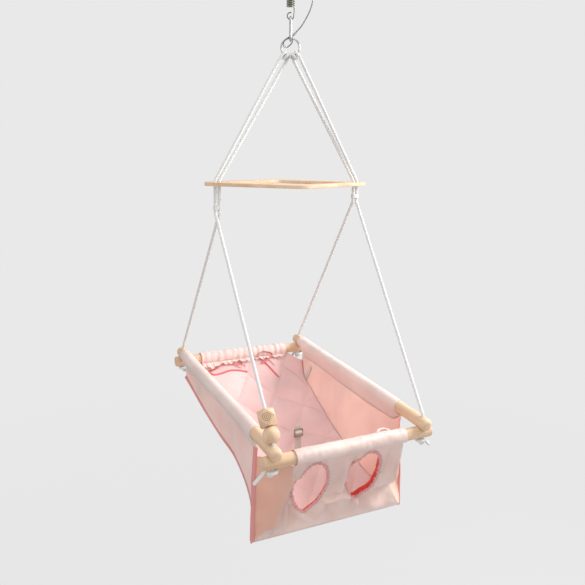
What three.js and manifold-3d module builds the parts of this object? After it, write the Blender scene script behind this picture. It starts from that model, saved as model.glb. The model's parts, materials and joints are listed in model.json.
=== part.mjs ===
// Hanging baby cradle. A padded cloth seat hangs in a frame of four dowels. Two ropes carry the
// frame over a wooden spreader from a ring, a snap hook and a coil spring under a ceiling plate.
// Millimetres, +Z up, origin in the middle of the ceiling plate's top face, front towards -Y.
import * as THREE from 'three';
import { mergeVertices } from 'three/addons/utils/BufferGeometryUtils.js';
import Module from 'manifold-3d';

const wasm = await Module();
wasm.setup();

// Clearances shared by all pieces
const seatGap = 0.3;
const overrun = 2;
const roundSides = 16;
const cordSides = 8;
const bendTurn = Math.PI / 6;
const straightTurn = bendTurn / 8;

// Ceiling plate, its eye and three screw holes
const plateDiameter = 60;
const plateThickness = 4;
const plateHole = 5;
const plateHoleCircle = 42;
const eyeWire = 6;
const eyeBend = 14;
const eyeDrop = 21;

// Extension spring with an open loop at each end
const springWire = 3;
const springDiameter = 21;
const springLength = 113;
const springCurls = 21;
const springNeck = 6;
const loopRadius = 8;
const loopTurn = THREE.MathUtils.degToRad(285);
const curlSteps = 8;
const curlSides = 5;

// Snap hook with a sprung gate
const hookWire = 6;
const hookLength = 60;
const hookWidth = 26;
const noseDrop = 4;
const lugThickness = 2.4;
const lugRadius = 2.6;
const lugHeight = 4.2;
const gateSlot = 3;
const gateSlotDepth = 3.2;
const gateHeel = 2.2;
const gateMouth = 0.6;
const pinDiameter = 1.5;
const pinClearance = 0.25;

// Ring and the direction in which it faces
const ringDiameter = 50;
const ringWire = 4.5;
const ringSteps = 28;
const hardwareTurn = THREE.MathUtils.degToRad(-24);

// Safety cable, slack beside the spring, with a pressed ferrule at each end
const cableDiameter = 3;
const ferruleWidth = 8;
const ferruleThickness = 5;
const ferruleLength = 10;
const lowerFerruleReach = 7;
const lowerFerruleRise = 29.5;
const upperFerruleReach = 26;
const upperFerruleAside = -7;
const upperFerruleDrop = 25;
const loopSteps = 16;
const cableSteps = 24;

// Ropes, their turns round the ring and their stopper knots
const ropeDiameter = 8;
const ropeGap = 0.7;
const turnClearance = 0.35;
const ropePitch = 10.2;
const ropeBend = 10;
const splitBend = 15;
const slotBend = 12;
const slotLift = 3;
const ringBend = 30;
const ringLead = 6;
const innerTurn = 0.28;
const outerTurn = 0.84;
const turnStep = Math.PI / 5;
const ropeLift = 6;
const ropeStep = 150;
const knotLead = 4.6;
const knotRise = 3;
const knotTurn = THREE.MathUtils.degToRad(270);
const knotStep = Math.PI / 4;
const knotGap = 0.5;
const tailRun = 8;
const tailBend = 9;
const frontLeftTail = { heading: Math.PI, reach: 30, drop: 30 };
const frontRightTail = { heading: 0, reach: 10, drop: 12 };
const backLeftTail = { heading: 0, reach: 12, drop: 14 };
const backRightTail = { heading: Math.PI, reach: 12, drop: 14 };

// Spreader board, a rounded rhombus with an open middle
const spreaderDrop = 302;
const spreaderTipReach = 31;
const spreaderHalfWidth = 88;
const spreaderTipRadius = 12;
const spreaderSideRadius = 60;
const openingInset = 36;
const openingHalfWidth = 62;
const openingTipRadius = 8;
const openingSideRadius = 30;
const spreaderThickness = 9;
const spreaderEdge = 1.2;
const spreaderTilt = 0.08;
const spreaderSteps = 4;
const slotWidth = 11;
const slotMargin = 1.6;

// Whippings that hold each pair of strands together where the pair divides
const leftSplitDrop = 378;
const rightSplitDrop = 353;
const whippingHeight = 12;
const whippingWall = 1.4;
const whippingSteps = 4;

// Frame of four dowels, leaning down to the front
const frameWidth = 392;
const frameLength = 662;
const frameDrop = 827;
const frameShift = -3;
const frameTilt = THREE.MathUtils.degToRad(4.1);
const dowelDiameter = 30;
const dowelSpacing = 24.3;
const dowelOverhang = 24;
const crossEndRound = 3;
const sideEndRound = 10;
const endSteps = 3;
const boreDiameter = 9;

// Two wooden beads on the front left rope
const ballDiameter = 38;
const ballSteps = 9;
const facetBeadSize = 38;
const beadBore = 9;
const beadMouth = 14;
const beadChamfer = 3.6;

// Cloth: wall, sleeves, seams and folds
const clothThickness = 2;
const sleeveClearance = 0.6;
const frontSleeveHalf = 145;
const backSleeveHalf = 142;
const ruffleDepth = 1.6;
const ruffleCount = 7;
const ruffleColumns = 21;
const ruffleTurns = 12;
const sideSleeveBack = 310;
const sideSleeveFront = 240;
const sideSleeveSlant = 26;
const sideFold = 4;
const sideFolds = 3;
const sideColumns = 6;
const pipingDiameter = 6;
const seamSteps = 16;
const seamBackInset = 32.5;
const seamBackFall = 76;
const seamFrontInset = 73.4;
const seamFrontFall = 278.7;
const seamPinch = 40;
const frontPanelLead = 1.6;
const frontPanelHem = 2;
const frontFold = 2.4;
const frontFolds = 5;
const frontColumns = 20;
const frontRows = 7;
const apronPower = 3.5;
const legHoleWidth = 78;
const legHoleLength = 146;
const legHoleInset = 73.5;
const legHoleAside = -14;
const legHoleDrop = 87;
const bindingDiameter = 4.8;
const bindingSides = 6;
const seatSag = 50;
const seatCornerCut = 50;
const seatMeet = THREE.MathUtils.degToRad(25);
const seatColumns = 10;
const searchSteps = 30;

// Seam along the lower edge of a side panel, from back to front
const seamShares = [
  [0, 0, 0], [0.075, 0.171, 0.35], [0.21, 0.296, 0.5], [0.404, 0.455, 0.75],
  [0.57, 0.568, 0.95], [0.8125, 0.805, 0.7], [1, 1, -0.3],
];

// Quilted pad on the seat
const padThickness = 13;
const padEdge = 3;
const padChannel = 5;
const padLift = 2.2;
const padRoundPower = 6;
const padColumns = 12;
const padRows = 20;
const padWidthShare = 0.9;
const padStartShare = 0.02;
const padEndShare = 0.95;
const quiltWidth = 126;
const quiltLength = 148;

// Webbing straps and their slider
const strapWidth = 20;
const strapThickness = 1.6;
const strapReach = 66.5;
const strapFall = 128.2;
const strapSlotMargin = 2;
const sliderWidth = 27;
const sliderHeight = 23;
const sliderThickness = 3;
const sliderBar = 3;
const strapClearance = 0.5;
const strapSeat = 0.9;
const tabEnd = 8;
const tabClearance = 0.4;
const tabColumns = 2;
const waistAcrossShares = [0.5, 0.92];
const waistAlongShares = [0.19, 0.225];
const strapEndAcrossShares = [0.47, 0.66];
const strapEndAlongShares = [0.93, 0.965];

// Ribbon ties
const ribbonDiameter = 3.4;
const tieSteps = 9;
const tieLift = 5.25;
const leftTieShares = [[0.3, 0.06], [0.36, 0.04], [0.43, 0.045], [0.47, 0.06], [0.42, 0.085]];
const rightTieShares = [[0.6, 0.045], [0.66, 0.04], [0.7, 0.06], [0.75, 0.1], [0.79, 0.15]];

// Levels below the ceiling, each worked out from the piece above it
const eyeBarZ = -plateThickness - eyeDrop;
const hangGap = seatGap + springWire / 2;
const upperLoopZ = eyeBarZ + eyeWire / 2 + hangGap - loopRadius;
const coilTopZ = upperLoopZ - loopRadius - springNeck;
const coilBottomZ = coilTopZ - springLength;
const lowerLoopZ = coilBottomZ - springNeck - loopRadius;
const loopFootZ = lowerLoopZ - loopRadius;
const hookTopZ = loopFootZ + hangGap + hookWire / 2;
const hookBottomZ = hookTopZ - (hookLength - hookWire);
const ringRadius = (ringDiameter - ringWire) / 2;
const ringTopZ = hookBottomZ + hookWire / 2 + ringWire / 2 + seatGap;
const ringZ = ringTopZ - ringRadius;
const ringFootZ = ringZ - ringDiameter / 2;
const spreaderZ = ringFootZ - spreaderDrop;
const coilRadius = (springDiameter - springWire) / 2;
const hookRadius = (hookWidth - hookWire) / 2;
const gateTopZ = hookTopZ - hookRadius - noseDrop - gateMouth;
const pinZ = hookBottomZ + hookRadius + lugHeight;
const ropeRadius = ropeDiameter / 2;
const dowelRadius = dowelDiameter / 2;
const sideAxisW = -dowelRadius;
const crossAxisW = sideAxisW - dowelSpacing;
const cornerX = frameWidth / 2;
const cornerV = frameLength / 2;
const sleeveInner = dowelRadius + sleeveClearance;
const sleeveOuter = sleeveInner + clothThickness;
const sleeveMiddle = (sleeveInner + sleeveOuter) / 2;

const cradle = new THREE.Group();
const hardware = new THREE.Group();
hardware.rotation.z = hardwareTurn;
const frame = new THREE.Group();
frame.position.set(0, frameShift, ringFootZ - frameDrop);
frame.rotation.x = frameTilt;
cradle.add(hardware, frame);
cradle.updateMatrixWorld(true);

const paint = (color, roughness, metalness) => (
  new THREE.MeshStandardMaterial({ color, roughness, metalness })
);
const steel = paint(0xa4a6a4, 0.35, 0.9);
const darkSteel = paint(0x8b8c80, 0.45, 0.8);
const ropeWhite = paint(0xf1efea, 0.9, 0);
const beech = paint(0xe6c79c, 0.6, 0);
const clothPink = paint(0xf0cdc6, 0.85, 0);
const clothPale = paint(0xf6e6e2, 0.8, 0);
const padPink = paint(0xf3d0ce, 0.9, 0);
const trimPink = paint(0xc46a6c, 0.8, 0);
const webbingGrey = paint(0xb4a4a6, 0.85, 0);
const plasticGrey = paint(0x8d8078, 0.5, 0);

function piece(name, geometry, material, group = cradle) {
  const mesh = new THREE.Mesh(geometry, material);
  mesh.name = name;
  group.add(mesh);
  return mesh;
}

const at = (x, y, z) => new THREE.Vector3(x, y, z);
const inFrame = (x, v, w) => frame.localToWorld(at(x, v, w));
const inHardware = (x, y, z) => hardware.localToWorld(at(x, y, z));
const lerp = THREE.MathUtils.lerp;

// Closed meshes to solids and back, for joins and cuts
function solidOf(geometry) {
  const bare = new THREE.BufferGeometry();
  bare.setAttribute('position', geometry.getAttribute('position').clone());
  if (geometry.index) bare.setIndex(geometry.index.clone());
  const merged = mergeVertices(bare);
  const vertProperties = new Float32Array(merged.getAttribute('position').array);
  const triVerts = new Uint32Array(merged.index.array);
  return new wasm.Manifold(new wasm.Mesh({ numProp: 3, vertProperties, triVerts }));
}

function geometryOf(solid) {
  const mesh = solid.getMesh();
  const geometry = new THREE.BufferGeometry();
  geometry.setAttribute('position', new THREE.BufferAttribute(mesh.vertProperties, mesh.numProp));
  geometry.setIndex(new THREE.BufferAttribute(mesh.triVerts, 1));
  geometry.computeVertexNormals();
  return geometry;
}

const cut = (body, tools) => geometryOf(tools.reduce(
  (rest, tool) => rest.subtract(solidOf(tool)),
  solidOf(body),
));
const join = parts => geometryOf(parts.map(solidOf).reduce((whole, part) => whole.add(part)));
const common = (a, b) => geometryOf(solidOf(a).intersect(solidOf(b)));

const rodY = (radius, length) => new THREE.CylinderGeometry(radius, radius, length, roundSides);
const rodX = (radius, length) => rodY(radius, length).rotateZ(Math.PI / 2);
const rodZ = (radius, length) => rodY(radius, length).rotateX(Math.PI / 2);

// A route keeps its own points, so a sweep along it has one ring at each of them
class Route extends THREE.Curve {
  constructor(points) {
    super();
    this.points = points;
  }

  getPoint(t, target = new THREE.Vector3()) {
    const reach = t * (this.points.length - 1);
    const index = Math.min(Math.floor(reach), this.points.length - 2);
    return target.lerpVectors(this.points[index], this.points[index + 1], reach - index);
  }

  getUtoTmapping(u) {
    return u;
  }
}

function sweep(points, radius, sides = cordSides) {
  const section = new THREE.Shape();
  for (let side = 0; side < sides; side += 1) {
    const angle = (2 * Math.PI * side) / sides;
    const go = side ? 'lineTo' : 'moveTo';
    section[go](radius * Math.cos(angle), radius * Math.sin(angle));
  }
  return new THREE.ExtrudeGeometry(section, { steps: points.length - 1, extrudePath: new Route(points) });
}

// Rounds each inner corner that has a bend by an arc of that radius
function rounded(corners) {
  const points = [corners[0].at];
  for (let index = 1; index < corners.length - 1; index += 1) {
    const { at: corner, bend } = corners[index];
    const inward = corner.clone().sub(corners[index - 1].at).normalize();
    const onward = corners[index + 1].at.clone().sub(corner).normalize();
    const turn = inward.angleTo(onward);
    if (!bend || turn < straightTurn) {
      points.push(corner);
      continue;
    }
    const reach = bend * Math.tan(turn / 2);
    const start = corner.clone().addScaledVector(inward, -reach);
    const end = corner.clone().addScaledVector(onward, reach);
    const toCentre = onward.clone().sub(inward).normalize();
    const centre = corner.clone().addScaledVector(toCentre, bend / Math.cos(turn / 2));
    const from = start.clone().sub(centre);
    const to = end.clone().sub(centre);
    const steps = Math.ceil(turn / bendTurn);
    for (let step = 0; step <= steps; step += 1) {
      const angle = (turn * step) / steps;
      const arm = from.clone().multiplyScalar(Math.sin(turn - angle));
      arm.addScaledVector(to, Math.sin(angle)).divideScalar(Math.sin(turn));
      points.push(centre.clone().add(arm));
    }
  }
  points.push(corners.at(-1).at);
  return points;
}

function spaced(points, step) {
  const dense = [points[0]];
  for (let index = 1; index < points.length; index += 1) {
    const from = points[index - 1];
    const count = Math.max(1, Math.round(from.distanceTo(points[index]) / step));
    for (let k = 1; k <= count; k += 1) dense.push(from.clone().lerp(points[index], k / count));
  }
  return dense;
}

// Least gap of a swept cord to itself, measured between points that lie apart along it
function leastGap(points, diameter) {
  const fine = spaced(points, diameter / 4);
  const along = [0];
  for (let i = 1; i < fine.length; i += 1) along.push(along[i - 1] + fine[i].distanceTo(fine[i - 1]));
  let least = Infinity;
  for (let i = 0; i < fine.length; i += 1) {
    for (let j = i + 1; j < fine.length; j += 1) {
      const apart = along[j] - along[i] > 2 * diameter;
      if (apart) least = Math.min(least, fine[i].distanceTo(fine[j]) - diameter);
    }
  }
  return least;
}

// Skins a row of closed sections, each with an even number of points, into one closed body. The
// second half of a section is divided like the half that it faces, so a thin cloth keeps its wall.
function loft(sections, closed = false) {
  const count = sections[0].length;
  const positions = sections.flat().flatMap(point => point.toArray());
  const index = [];
  const quad = (a, b, c, d) => index.push(a, b, c, a, c, d);
  const spans = closed ? sections.length : sections.length - 1;
  for (let row = 0; row < spans; row += 1) {
    const here = row * count;
    const next = ((row + 1) % sections.length) * count;
    for (let k = 0; k < count; k += 1) {
      const turn = (k + 1) % count;
      const [a, b, c, d] = [here + k, here + turn, next + turn, next + k];
      if (k < count / 2) quad(a, b, c, d);
      else quad(b, c, d, a);
    }
  }
  if (!closed) {
    const last = (sections.length - 1) * count;
    for (let k = 0; k < count / 2 - 1; k += 1) {
      const [a, b, c, d] = [k, k + 1, count - 2 - k, count - 1 - k];
      quad(a, d, c, b);
      quad(last + a, last + b, last + c, last + d);
    }
  }
  const geometry = new THREE.BufferGeometry();
  geometry.setAttribute('position', new THREE.Float32BufferAttribute(positions, 3));
  geometry.setIndex(index);
  if (volumeOf(geometry) < 0) geometry.index.array.reverse();
  geometry.computeVertexNormals();
  return geometry;
}

function volumeOf(geometry) {
  const position = geometry.getAttribute('position');
  const corner = k => new THREE.Vector3().fromBufferAttribute(position, geometry.index.getX(k));
  let sum = 0;
  for (let k = 0; k < geometry.index.count; k += 3) sum += corner(k).dot(corner(k + 1).cross(corner(k + 2)));
  return sum;
}

// A cloth between an upper and a lower face, both given as points over two shares
function sheet(upper, lower, columns, rows) {
  const sections = [];
  for (let row = 0; row <= rows; row += 1) {
    const section = [];
    for (let column = 0; column <= columns; column += 1) section.push(upper(column / columns, row / rows));
    for (let column = columns; column >= 0; column -= 1) section.push(lower(column / columns, row / rows));
    sections.push(section);
  }
  return loft(sections);
}

function ceilingPlate() {
  const plate = rodZ(plateDiameter / 2, plateThickness).translate(0, 0, -plateThickness / 2);
  const holes = [0, 1, 2].map(step => {
    const angle = (2 * Math.PI * step) / 3;
    const x = (plateHoleCircle / 2) * Math.cos(angle);
    const y = (plateHoleCircle / 2) * Math.sin(angle);
    return rodZ(plateHole / 2, plateThickness + overrun).translate(x, y, -plateThickness / 2);
  });
  piece('ceiling_plate', cut(plate, holes), steel, hardware);
}

function ceilingEye() {
  const topZ = -plateThickness - seatGap;
  const route = rounded([
    { at: at(0, -eyeBend, topZ) },
    { at: at(0, -eyeBend, eyeBarZ), bend: eyeBend },
    { at: at(0, eyeBend, eyeBarZ), bend: eyeBend },
    { at: at(0, eyeBend, topZ) },
  ]);
  piece('ceiling_eye', sweep(route, eyeWire / 2, cordSides), steel, hardware);
}

// One end loop: a straight lead beside the coil's end, then a turn round the loop's middle
function springLoop(name, middleZ, coilEndZ) {
  const up = Math.sign(middleZ - coilEndZ);
  const points = [at(coilRadius, 0, coilEndZ + up * seatGap)];
  points.push(at(coilRadius, 0, coilEndZ + up * springNeck));
  const steps = Math.round(loopTurn / bendTurn);
  for (let step = 0; step <= steps; step += 1) {
    const angle = (loopTurn * step) / steps;
    points.push(at(loopRadius * Math.cos(angle), 0, middleZ + up * loopRadius * Math.sin(angle)));
  }
  piece(name, sweep(points, springWire / 2), darkSteel, hardware);
}

// The coil's ends turn upright for one wire diameter to meet the end loops
function springCoil() {
  const lead = springWire;
  const bend = springWire;
  const pitch = (springLength - 2 * (lead + bend)) / springCurls;
  const steps = springCurls * curlSteps;
  const curl = [];
  for (let step = 0; step <= steps; step += 1) {
    const angle = (2 * Math.PI * step) / curlSteps;
    const z = coilTopZ - lead - bend - (pitch * step) / curlSteps;
    curl.push(at(coilRadius * Math.cos(angle), coilRadius * Math.sin(angle), z));
  }
  const upper = rounded([
    { at: at(coilRadius, 0, coilTopZ) },
    { at: at(coilRadius, 0, coilTopZ - lead - bend), bend },
    { at: curl[1] },
  ]);
  const lower = rounded([
    { at: curl.at(-2) },
    { at: at(coilRadius, 0, coilBottomZ + lead + bend), bend },
    { at: at(coilRadius, 0, coilBottomZ) },
  ]);
  const route = [...upper.slice(0, -1), ...curl.slice(1, -1), ...lower.slice(1)];
  piece('spring_coil', sweep(route, springWire / 2, curlSides), darkSteel, hardware);
  console.log(`spring coil: least gap to itself ${leastGap(route, springWire).toFixed(2)} mm`);
}

// The wire runs from the nose over the top, round the bottom and up to the lug of the gate
function snapHookBody() {
  const noseZ = gateTopZ + gateMouth;
  const footZ = pinZ - lugHeight;
  const wire = sweep(rounded([
    { at: at(0, -hookRadius, noseZ) },
    { at: at(0, -hookRadius, hookTopZ), bend: hookRadius },
    { at: at(0, hookRadius, hookTopZ), bend: hookRadius },
    { at: at(0, hookRadius, hookBottomZ), bend: hookRadius },
    { at: at(0, -hookRadius, hookBottomZ), bend: hookRadius },
    { at: at(0, -hookRadius, footZ) },
  ]), hookWire / 2, cordSides);
  const stem = new THREE.BoxGeometry(lugThickness, 2 * lugRadius, lugHeight + overrun);
  stem.translate(0, -hookRadius, pinZ - (lugHeight + overrun) / 2);
  const eye = rodX(lugRadius, lugThickness).translate(0, -hookRadius, pinZ);
  const bore = rodX(pinDiameter / 2 + pinClearance, hookWire).translate(0, -hookRadius, pinZ);
  piece('snap_hook_body', cut(join([wire, stem, eye]), [bore]), steel, hardware);
}

function snapHookGate() {
  const length = gateTopZ - (pinZ - gateHeel);
  const bar = rodZ(hookWire / 2, length).translate(0, -hookRadius, gateTopZ - length / 2);
  const slotHeight = gateSlotDepth + gateHeel + overrun;
  const slot = new THREE.BoxGeometry(gateSlot, hookWire + overrun, slotHeight);
  slot.translate(0, -hookRadius, pinZ + gateSlotDepth - slotHeight / 2);
  const bore = rodX(pinDiameter / 2 + pinClearance, hookWire + overrun).translate(0, -hookRadius, pinZ);
  piece('snap_hook_gate', cut(bar, [slot, bore]), steel, hardware);
  const pin = rodX(pinDiameter / 2, hookWire - seatGap).translate(0, -hookRadius, pinZ);
  piece('gate_pin', pin, darkSteel, hardware);
}

function ring() {
  const profile = [];
  for (let step = 0; step <= cordSides; step += 1) {
    const angle = (2 * Math.PI * step) / cordSides;
    const wireRadius = ringWire / 2;
    profile.push(new THREE.Vector2(
      ringRadius + wireRadius * Math.cos(angle),
      wireRadius * Math.sin(angle),
    ));
  }
  const hoop = new THREE.LatheGeometry(profile, ringSteps);
  piece('ring', hoop.translate(0, 0, ringZ), steel, hardware);
}

// Helical turns of a rope round the ring, from the strand in front to the strand behind
function ringTurns(side) {
  const wrap = ringWire / 2 + ropeRadius + turnClearance;
  const full = 3 * Math.PI;
  const spot = (turn, lead) => {
    const share = THREE.MathUtils.clamp((turn - Math.PI / 2) / (2 * Math.PI), 0, 1);
    const swing = lerp(outerTurn, innerTurn, share);
    const reach = ringRadius - wrap * Math.sin(turn) + lead;
    const aside = side * reach * Math.sin(swing);
    return inHardware(aside, -wrap * Math.cos(turn), ringZ - reach * Math.cos(swing));
  };
  const corners = [{ at: spot(0, ringLead), bend: ringBend }];
  const steps = Math.round(full / turnStep);
  for (let step = 0; step <= steps; step += 1) corners.push({ at: spot((full * step) / steps, 0) });
  corners.push({ at: spot(full, ringLead), bend: ringBend });
  return corners;
}

// Stopper knot under a cross dowel: down through the bore, back up beside itself, three quarters
// of a turn round the core and out as a tail
function stopperKnot(x, v, tail) {
  const { heading, reach: tailReach, drop: tailDrop } = tail;
  const pitch = ropeDiameter + ropeGap;
  const radius = Math.hypot(pitch, knotLead);
  const endW = crossAxisW - dowelRadius - knotGap - ropeRadius;
  const startW = endW - knotRise;
  const footW = startW - pitch / 2 - knotLead;
  const spot = (along, aside, w) => inFrame(
    x + along * Math.cos(heading) - aside * Math.sin(heading),
    v + along * Math.sin(heading) + aside * Math.cos(heading),
    w,
  );
  const corners = [
    { at: spot(0, 0, footW), bend: pitch / 2 },
    { at: spot(pitch, 0, footW), bend: pitch / 2 },
    { at: spot(pitch, 0, startW), bend: knotLead },
  ];
  const startAngle = Math.atan2(knotLead, pitch);
  const steps = Math.ceil((knotTurn - startAngle) / knotStep);
  for (let step = 0; step <= steps; step += 1) {
    const angle = lerp(startAngle, knotTurn, step / steps);
    const w = lerp(startW, endW, step / steps);
    corners.push({ at: spot(radius * Math.cos(angle), radius * Math.sin(angle), w) });
  }
  corners.push({ at: spot(tailRun, -radius, endW), bend: tailBend });
  corners.push({ at: spot(tailRun + tailReach, -radius, endW - tailDrop) });
  return corners;
}

function legCorners(side, end, strandX, splitDrop) {
  return [
    { at: at(strandX, 0, spreaderZ + slotLift), bend: slotBend },
    { at: at(strandX, 0, ringFootZ - splitDrop), bend: splitBend },
    { at: inFrame(side * cornerX, end * cornerV, ropeLift), bend: ropeBend },
  ];
}

function rope(name, side, splitDrop, frontTail, backTail) {
  const frontX = side * (cornerX + ropePitch / 2);
  const backX = side * (cornerX - ropePitch / 2);
  const frontKnot = stopperKnot(side * cornerX, -cornerV, frontTail);
  const backKnot = stopperKnot(side * cornerX, cornerV, backTail);
  const frontLeg = [...legCorners(side, -1, frontX, splitDrop), ...frontKnot].reverse();
  const backLeg = [...legCorners(side, 1, backX, splitDrop), ...backKnot];
  const route = spaced(rounded([...frontLeg, ...ringTurns(side), ...backLeg]), ropeStep);
  piece(name, sweep(route, ropeRadius), ropeWhite);
  console.log(`${name}: least gap to itself ${leastGap(route, ropeDiameter).toFixed(2)} mm`);
}

function whipping(name, side, splitDrop) {
  const outline = (radius, target) => {
    target.absarc(ropePitch / 2, 0, radius, -Math.PI / 2, Math.PI / 2);
    target.absarc(-ropePitch / 2, 0, radius, Math.PI / 2, (3 * Math.PI) / 2);
    return target;
  };
  const inner = ropeRadius + seatGap;
  const shape = outline(inner + whippingWall, new THREE.Shape());
  shape.holes.push(outline(inner, new THREE.Path()));
  const band = new THREE.ExtrudeGeometry(shape, {
    depth: whippingHeight,
    bevelEnabled: false,
    curveSegments: whippingSteps,
  });
  band.translate(side * cornerX, 0, ringFootZ - splitDrop + splitBend / 2);
  piece(name, band, ropeWhite);
}

// Outline round two small circles on the long axis and two large ones on the short axis
function rhombus(halfLength, halfWidth, tipRadius, sideRadius, target) {
  const tip = halfLength - tipRadius;
  const flank = halfWidth - sideRadius;
  const spread = Math.hypot(tip, flank);
  const edge = Math.acos((sideRadius - tipRadius) / spread) - Math.atan2(flank, tip);
  target.absarc(tip, 0, tipRadius, -edge, edge);
  target.absarc(0, flank, sideRadius, edge, Math.PI - edge);
  target.absarc(-tip, 0, tipRadius, Math.PI - edge, Math.PI + edge);
  target.absarc(0, -flank, sideRadius, Math.PI + edge, 2 * Math.PI - edge);
  return target;
}

function spreader() {
  const board = new THREE.Shape();
  rhombus(cornerX + spreaderTipReach, spreaderHalfWidth, spreaderTipRadius, spreaderSideRadius, board);
  const middle = new THREE.Path();
  rhombus(cornerX - openingInset, openingHalfWidth, openingTipRadius, openingSideRadius, middle);
  board.holes.push(middle);
  const half = (ropePitch + ropeDiameter) / 2 + slotMargin - slotWidth / 2;
  for (const side of [-1, 1]) {
    const slot = new THREE.Path();
    slot.absarc(side * cornerX + half, 0, slotWidth / 2, -Math.PI / 2, Math.PI / 2);
    slot.absarc(side * cornerX - half, 0, slotWidth / 2, Math.PI / 2, (3 * Math.PI) / 2);
    board.holes.push(slot);
  }
  const geometry = new THREE.ExtrudeGeometry(board, {
    depth: spreaderThickness - 2 * spreaderEdge,
    bevelThickness: spreaderEdge,
    bevelSize: spreaderEdge,
    bevelOffset: -spreaderEdge,
    bevelSegments: 1,
    curveSegments: spreaderSteps,
  });
  geometry.translate(0, 0, spreaderEdge - spreaderThickness);
  const mesh = piece('spreader', geometry, beech);
  mesh.position.z = spreaderZ;
  mesh.rotation.x = spreaderTilt;
}

// A turned rod along Y with rounded ends
function turnedRod(length, endRound) {
  const profile = [new THREE.Vector2(0, -length / 2)];
  for (const end of [-1, 1]) {
    for (let step = 0; step <= endSteps; step += 1) {
      const angle = (Math.PI / 2) * (end < 0 ? step / endSteps : 1 - step / endSteps);
      const radius = dowelRadius - endRound * (1 - Math.sin(angle));
      profile.push(new THREE.Vector2(radius, end * (length / 2 - endRound * (1 - Math.cos(angle)))));
    }
  }
  profile.push(new THREE.Vector2(0, length / 2));
  return new THREE.LatheGeometry(profile, roundSides);
}

function sideDowel(name, side) {
  const rod = turnedRod(frameLength + 2 * dowelOverhang, sideEndRound);
  const tools = [-1, 1].flatMap(end => [
    rodZ(boreDiameter / 2, dowelDiameter + overrun).translate(0, end * cornerV, 0),
    rodX(dowelRadius + seatGap, dowelDiameter + overrun).translate(0, end * cornerV, -dowelSpacing),
  ]);
  const mesh = piece(name, cut(rod, tools), beech, frame);
  mesh.position.set(side * cornerX, 0, sideAxisW);
}

function crossDowel(name, end) {
  const rod = turnedRod(frameWidth + 2 * dowelOverhang, crossEndRound).rotateZ(Math.PI / 2);
  const bore = side => rodZ(boreDiameter / 2, dowelDiameter + overrun).translate(side * cornerX, 0, 0);
  const tools = [bore(-1), bore(1)];
  const mesh = piece(name, cut(rod, tools), beech, frame);
  mesh.position.set(0, end * cornerV, crossAxisW);
}

// Both beads ride on the front strand of the left rope, the ball resting on the side dowel
function beads() {
  const foot = inFrame(-cornerX, -cornerV, ropeLift);
  const head = at(-cornerX - ropePitch / 2, 0, ringFootZ - leftSplitDrop);
  const along = head.clone().sub(foot).normalize();
  const steepness = along.dot(inFrame(0, 0, 1).sub(inFrame(0, 0, 0)));
  const ballRadius = ballDiameter / 2;
  const mouth = beadMouth / 2;
  const capHeight = Math.sqrt(ballRadius ** 2 - mouth ** 2);
  const ballRise = (ballRadius + seatGap - ropeLift) / steepness;
  const profile = [];
  const openAngle = Math.acos(capHeight / ballRadius);
  for (let step = 0; step <= ballSteps; step += 1) {
    const angle = lerp(openAngle, Math.PI - openAngle, step / ballSteps);
    profile.push(new THREE.Vector2(ballRadius * Math.sin(angle), -ballRadius * Math.cos(angle)));
  }
  profile.push(new THREE.Vector2(beadBore / 2, capHeight - beadChamfer));
  profile.push(new THREE.Vector2(beadBore / 2, beadChamfer - capHeight));
  profile.push(profile[0].clone());
  const ball = piece('ball_bead', new THREE.LatheGeometry(profile, roundSides).rotateX(Math.PI / 2), beech);
  const half = facetBeadSize / 2;
  const box = new THREE.BoxGeometry(facetBeadSize, facetBeadSize, facetBeadSize);
  const facets = common(box, new THREE.OctahedronGeometry(facetBeadSize));
  const hole = rodZ(beadBore / 2, facetBeadSize + overrun);
  const facetBead = piece('facet_bead', cut(facets, [hole]).rotateZ(hardwareTurn), beech);
  const upright = new THREE.Quaternion().setFromUnitVectors(at(0, 0, 1), along);
  ball.quaternion.copy(upright);
  facetBead.quaternion.copy(upright);
  ball.position.copy(foot).addScaledVector(along, ballRise);
  facetBead.position.copy(ball.position).addScaledVector(along, capHeight + seatGap + half);
}

// Seams along the lower edges of the side panels, as curves from back to front
const seamBack = inFrame(0, cornerV - seamBackInset, -seamBackFall);
const seamFront = inFrame(0, seamFrontInset - cornerV, -seamFrontFall);
const seam = new THREE.CatmullRomCurve3(seamShares.map(([lengthShare, fallShare, pinchShare]) => at(
  cornerX - seamPinch * pinchShare,
  lerp(seamBack.y, seamFront.y, lengthShare),
  lerp(seamBack.z, seamFront.z, fallShare),
)));
const seamReach = pipingDiameter / 2 + seatGap + clothThickness / 4;

function sidePoint(side, across, along) {
  const v = lerp(sideSleeveBack, -sideSleeveFront, along);
  const top = inFrame(cornerX, v, sideAxisW - sleeveMiddle);
  const foot = seam.getPoint(along);
  const tangent = seam.getTangent(along);
  const upward = top.clone().sub(foot);
  upward.addScaledVector(tangent, -upward.dot(tangent)).normalize();
  foot.addScaledVector(upward, seamReach);
  const point = top.lerp(foot, across);
  point.x += sideFold * Math.sin(2 * Math.PI * sideFolds * along) * Math.sin(Math.PI * across);
  point.x *= side;
  return point;
}

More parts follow.
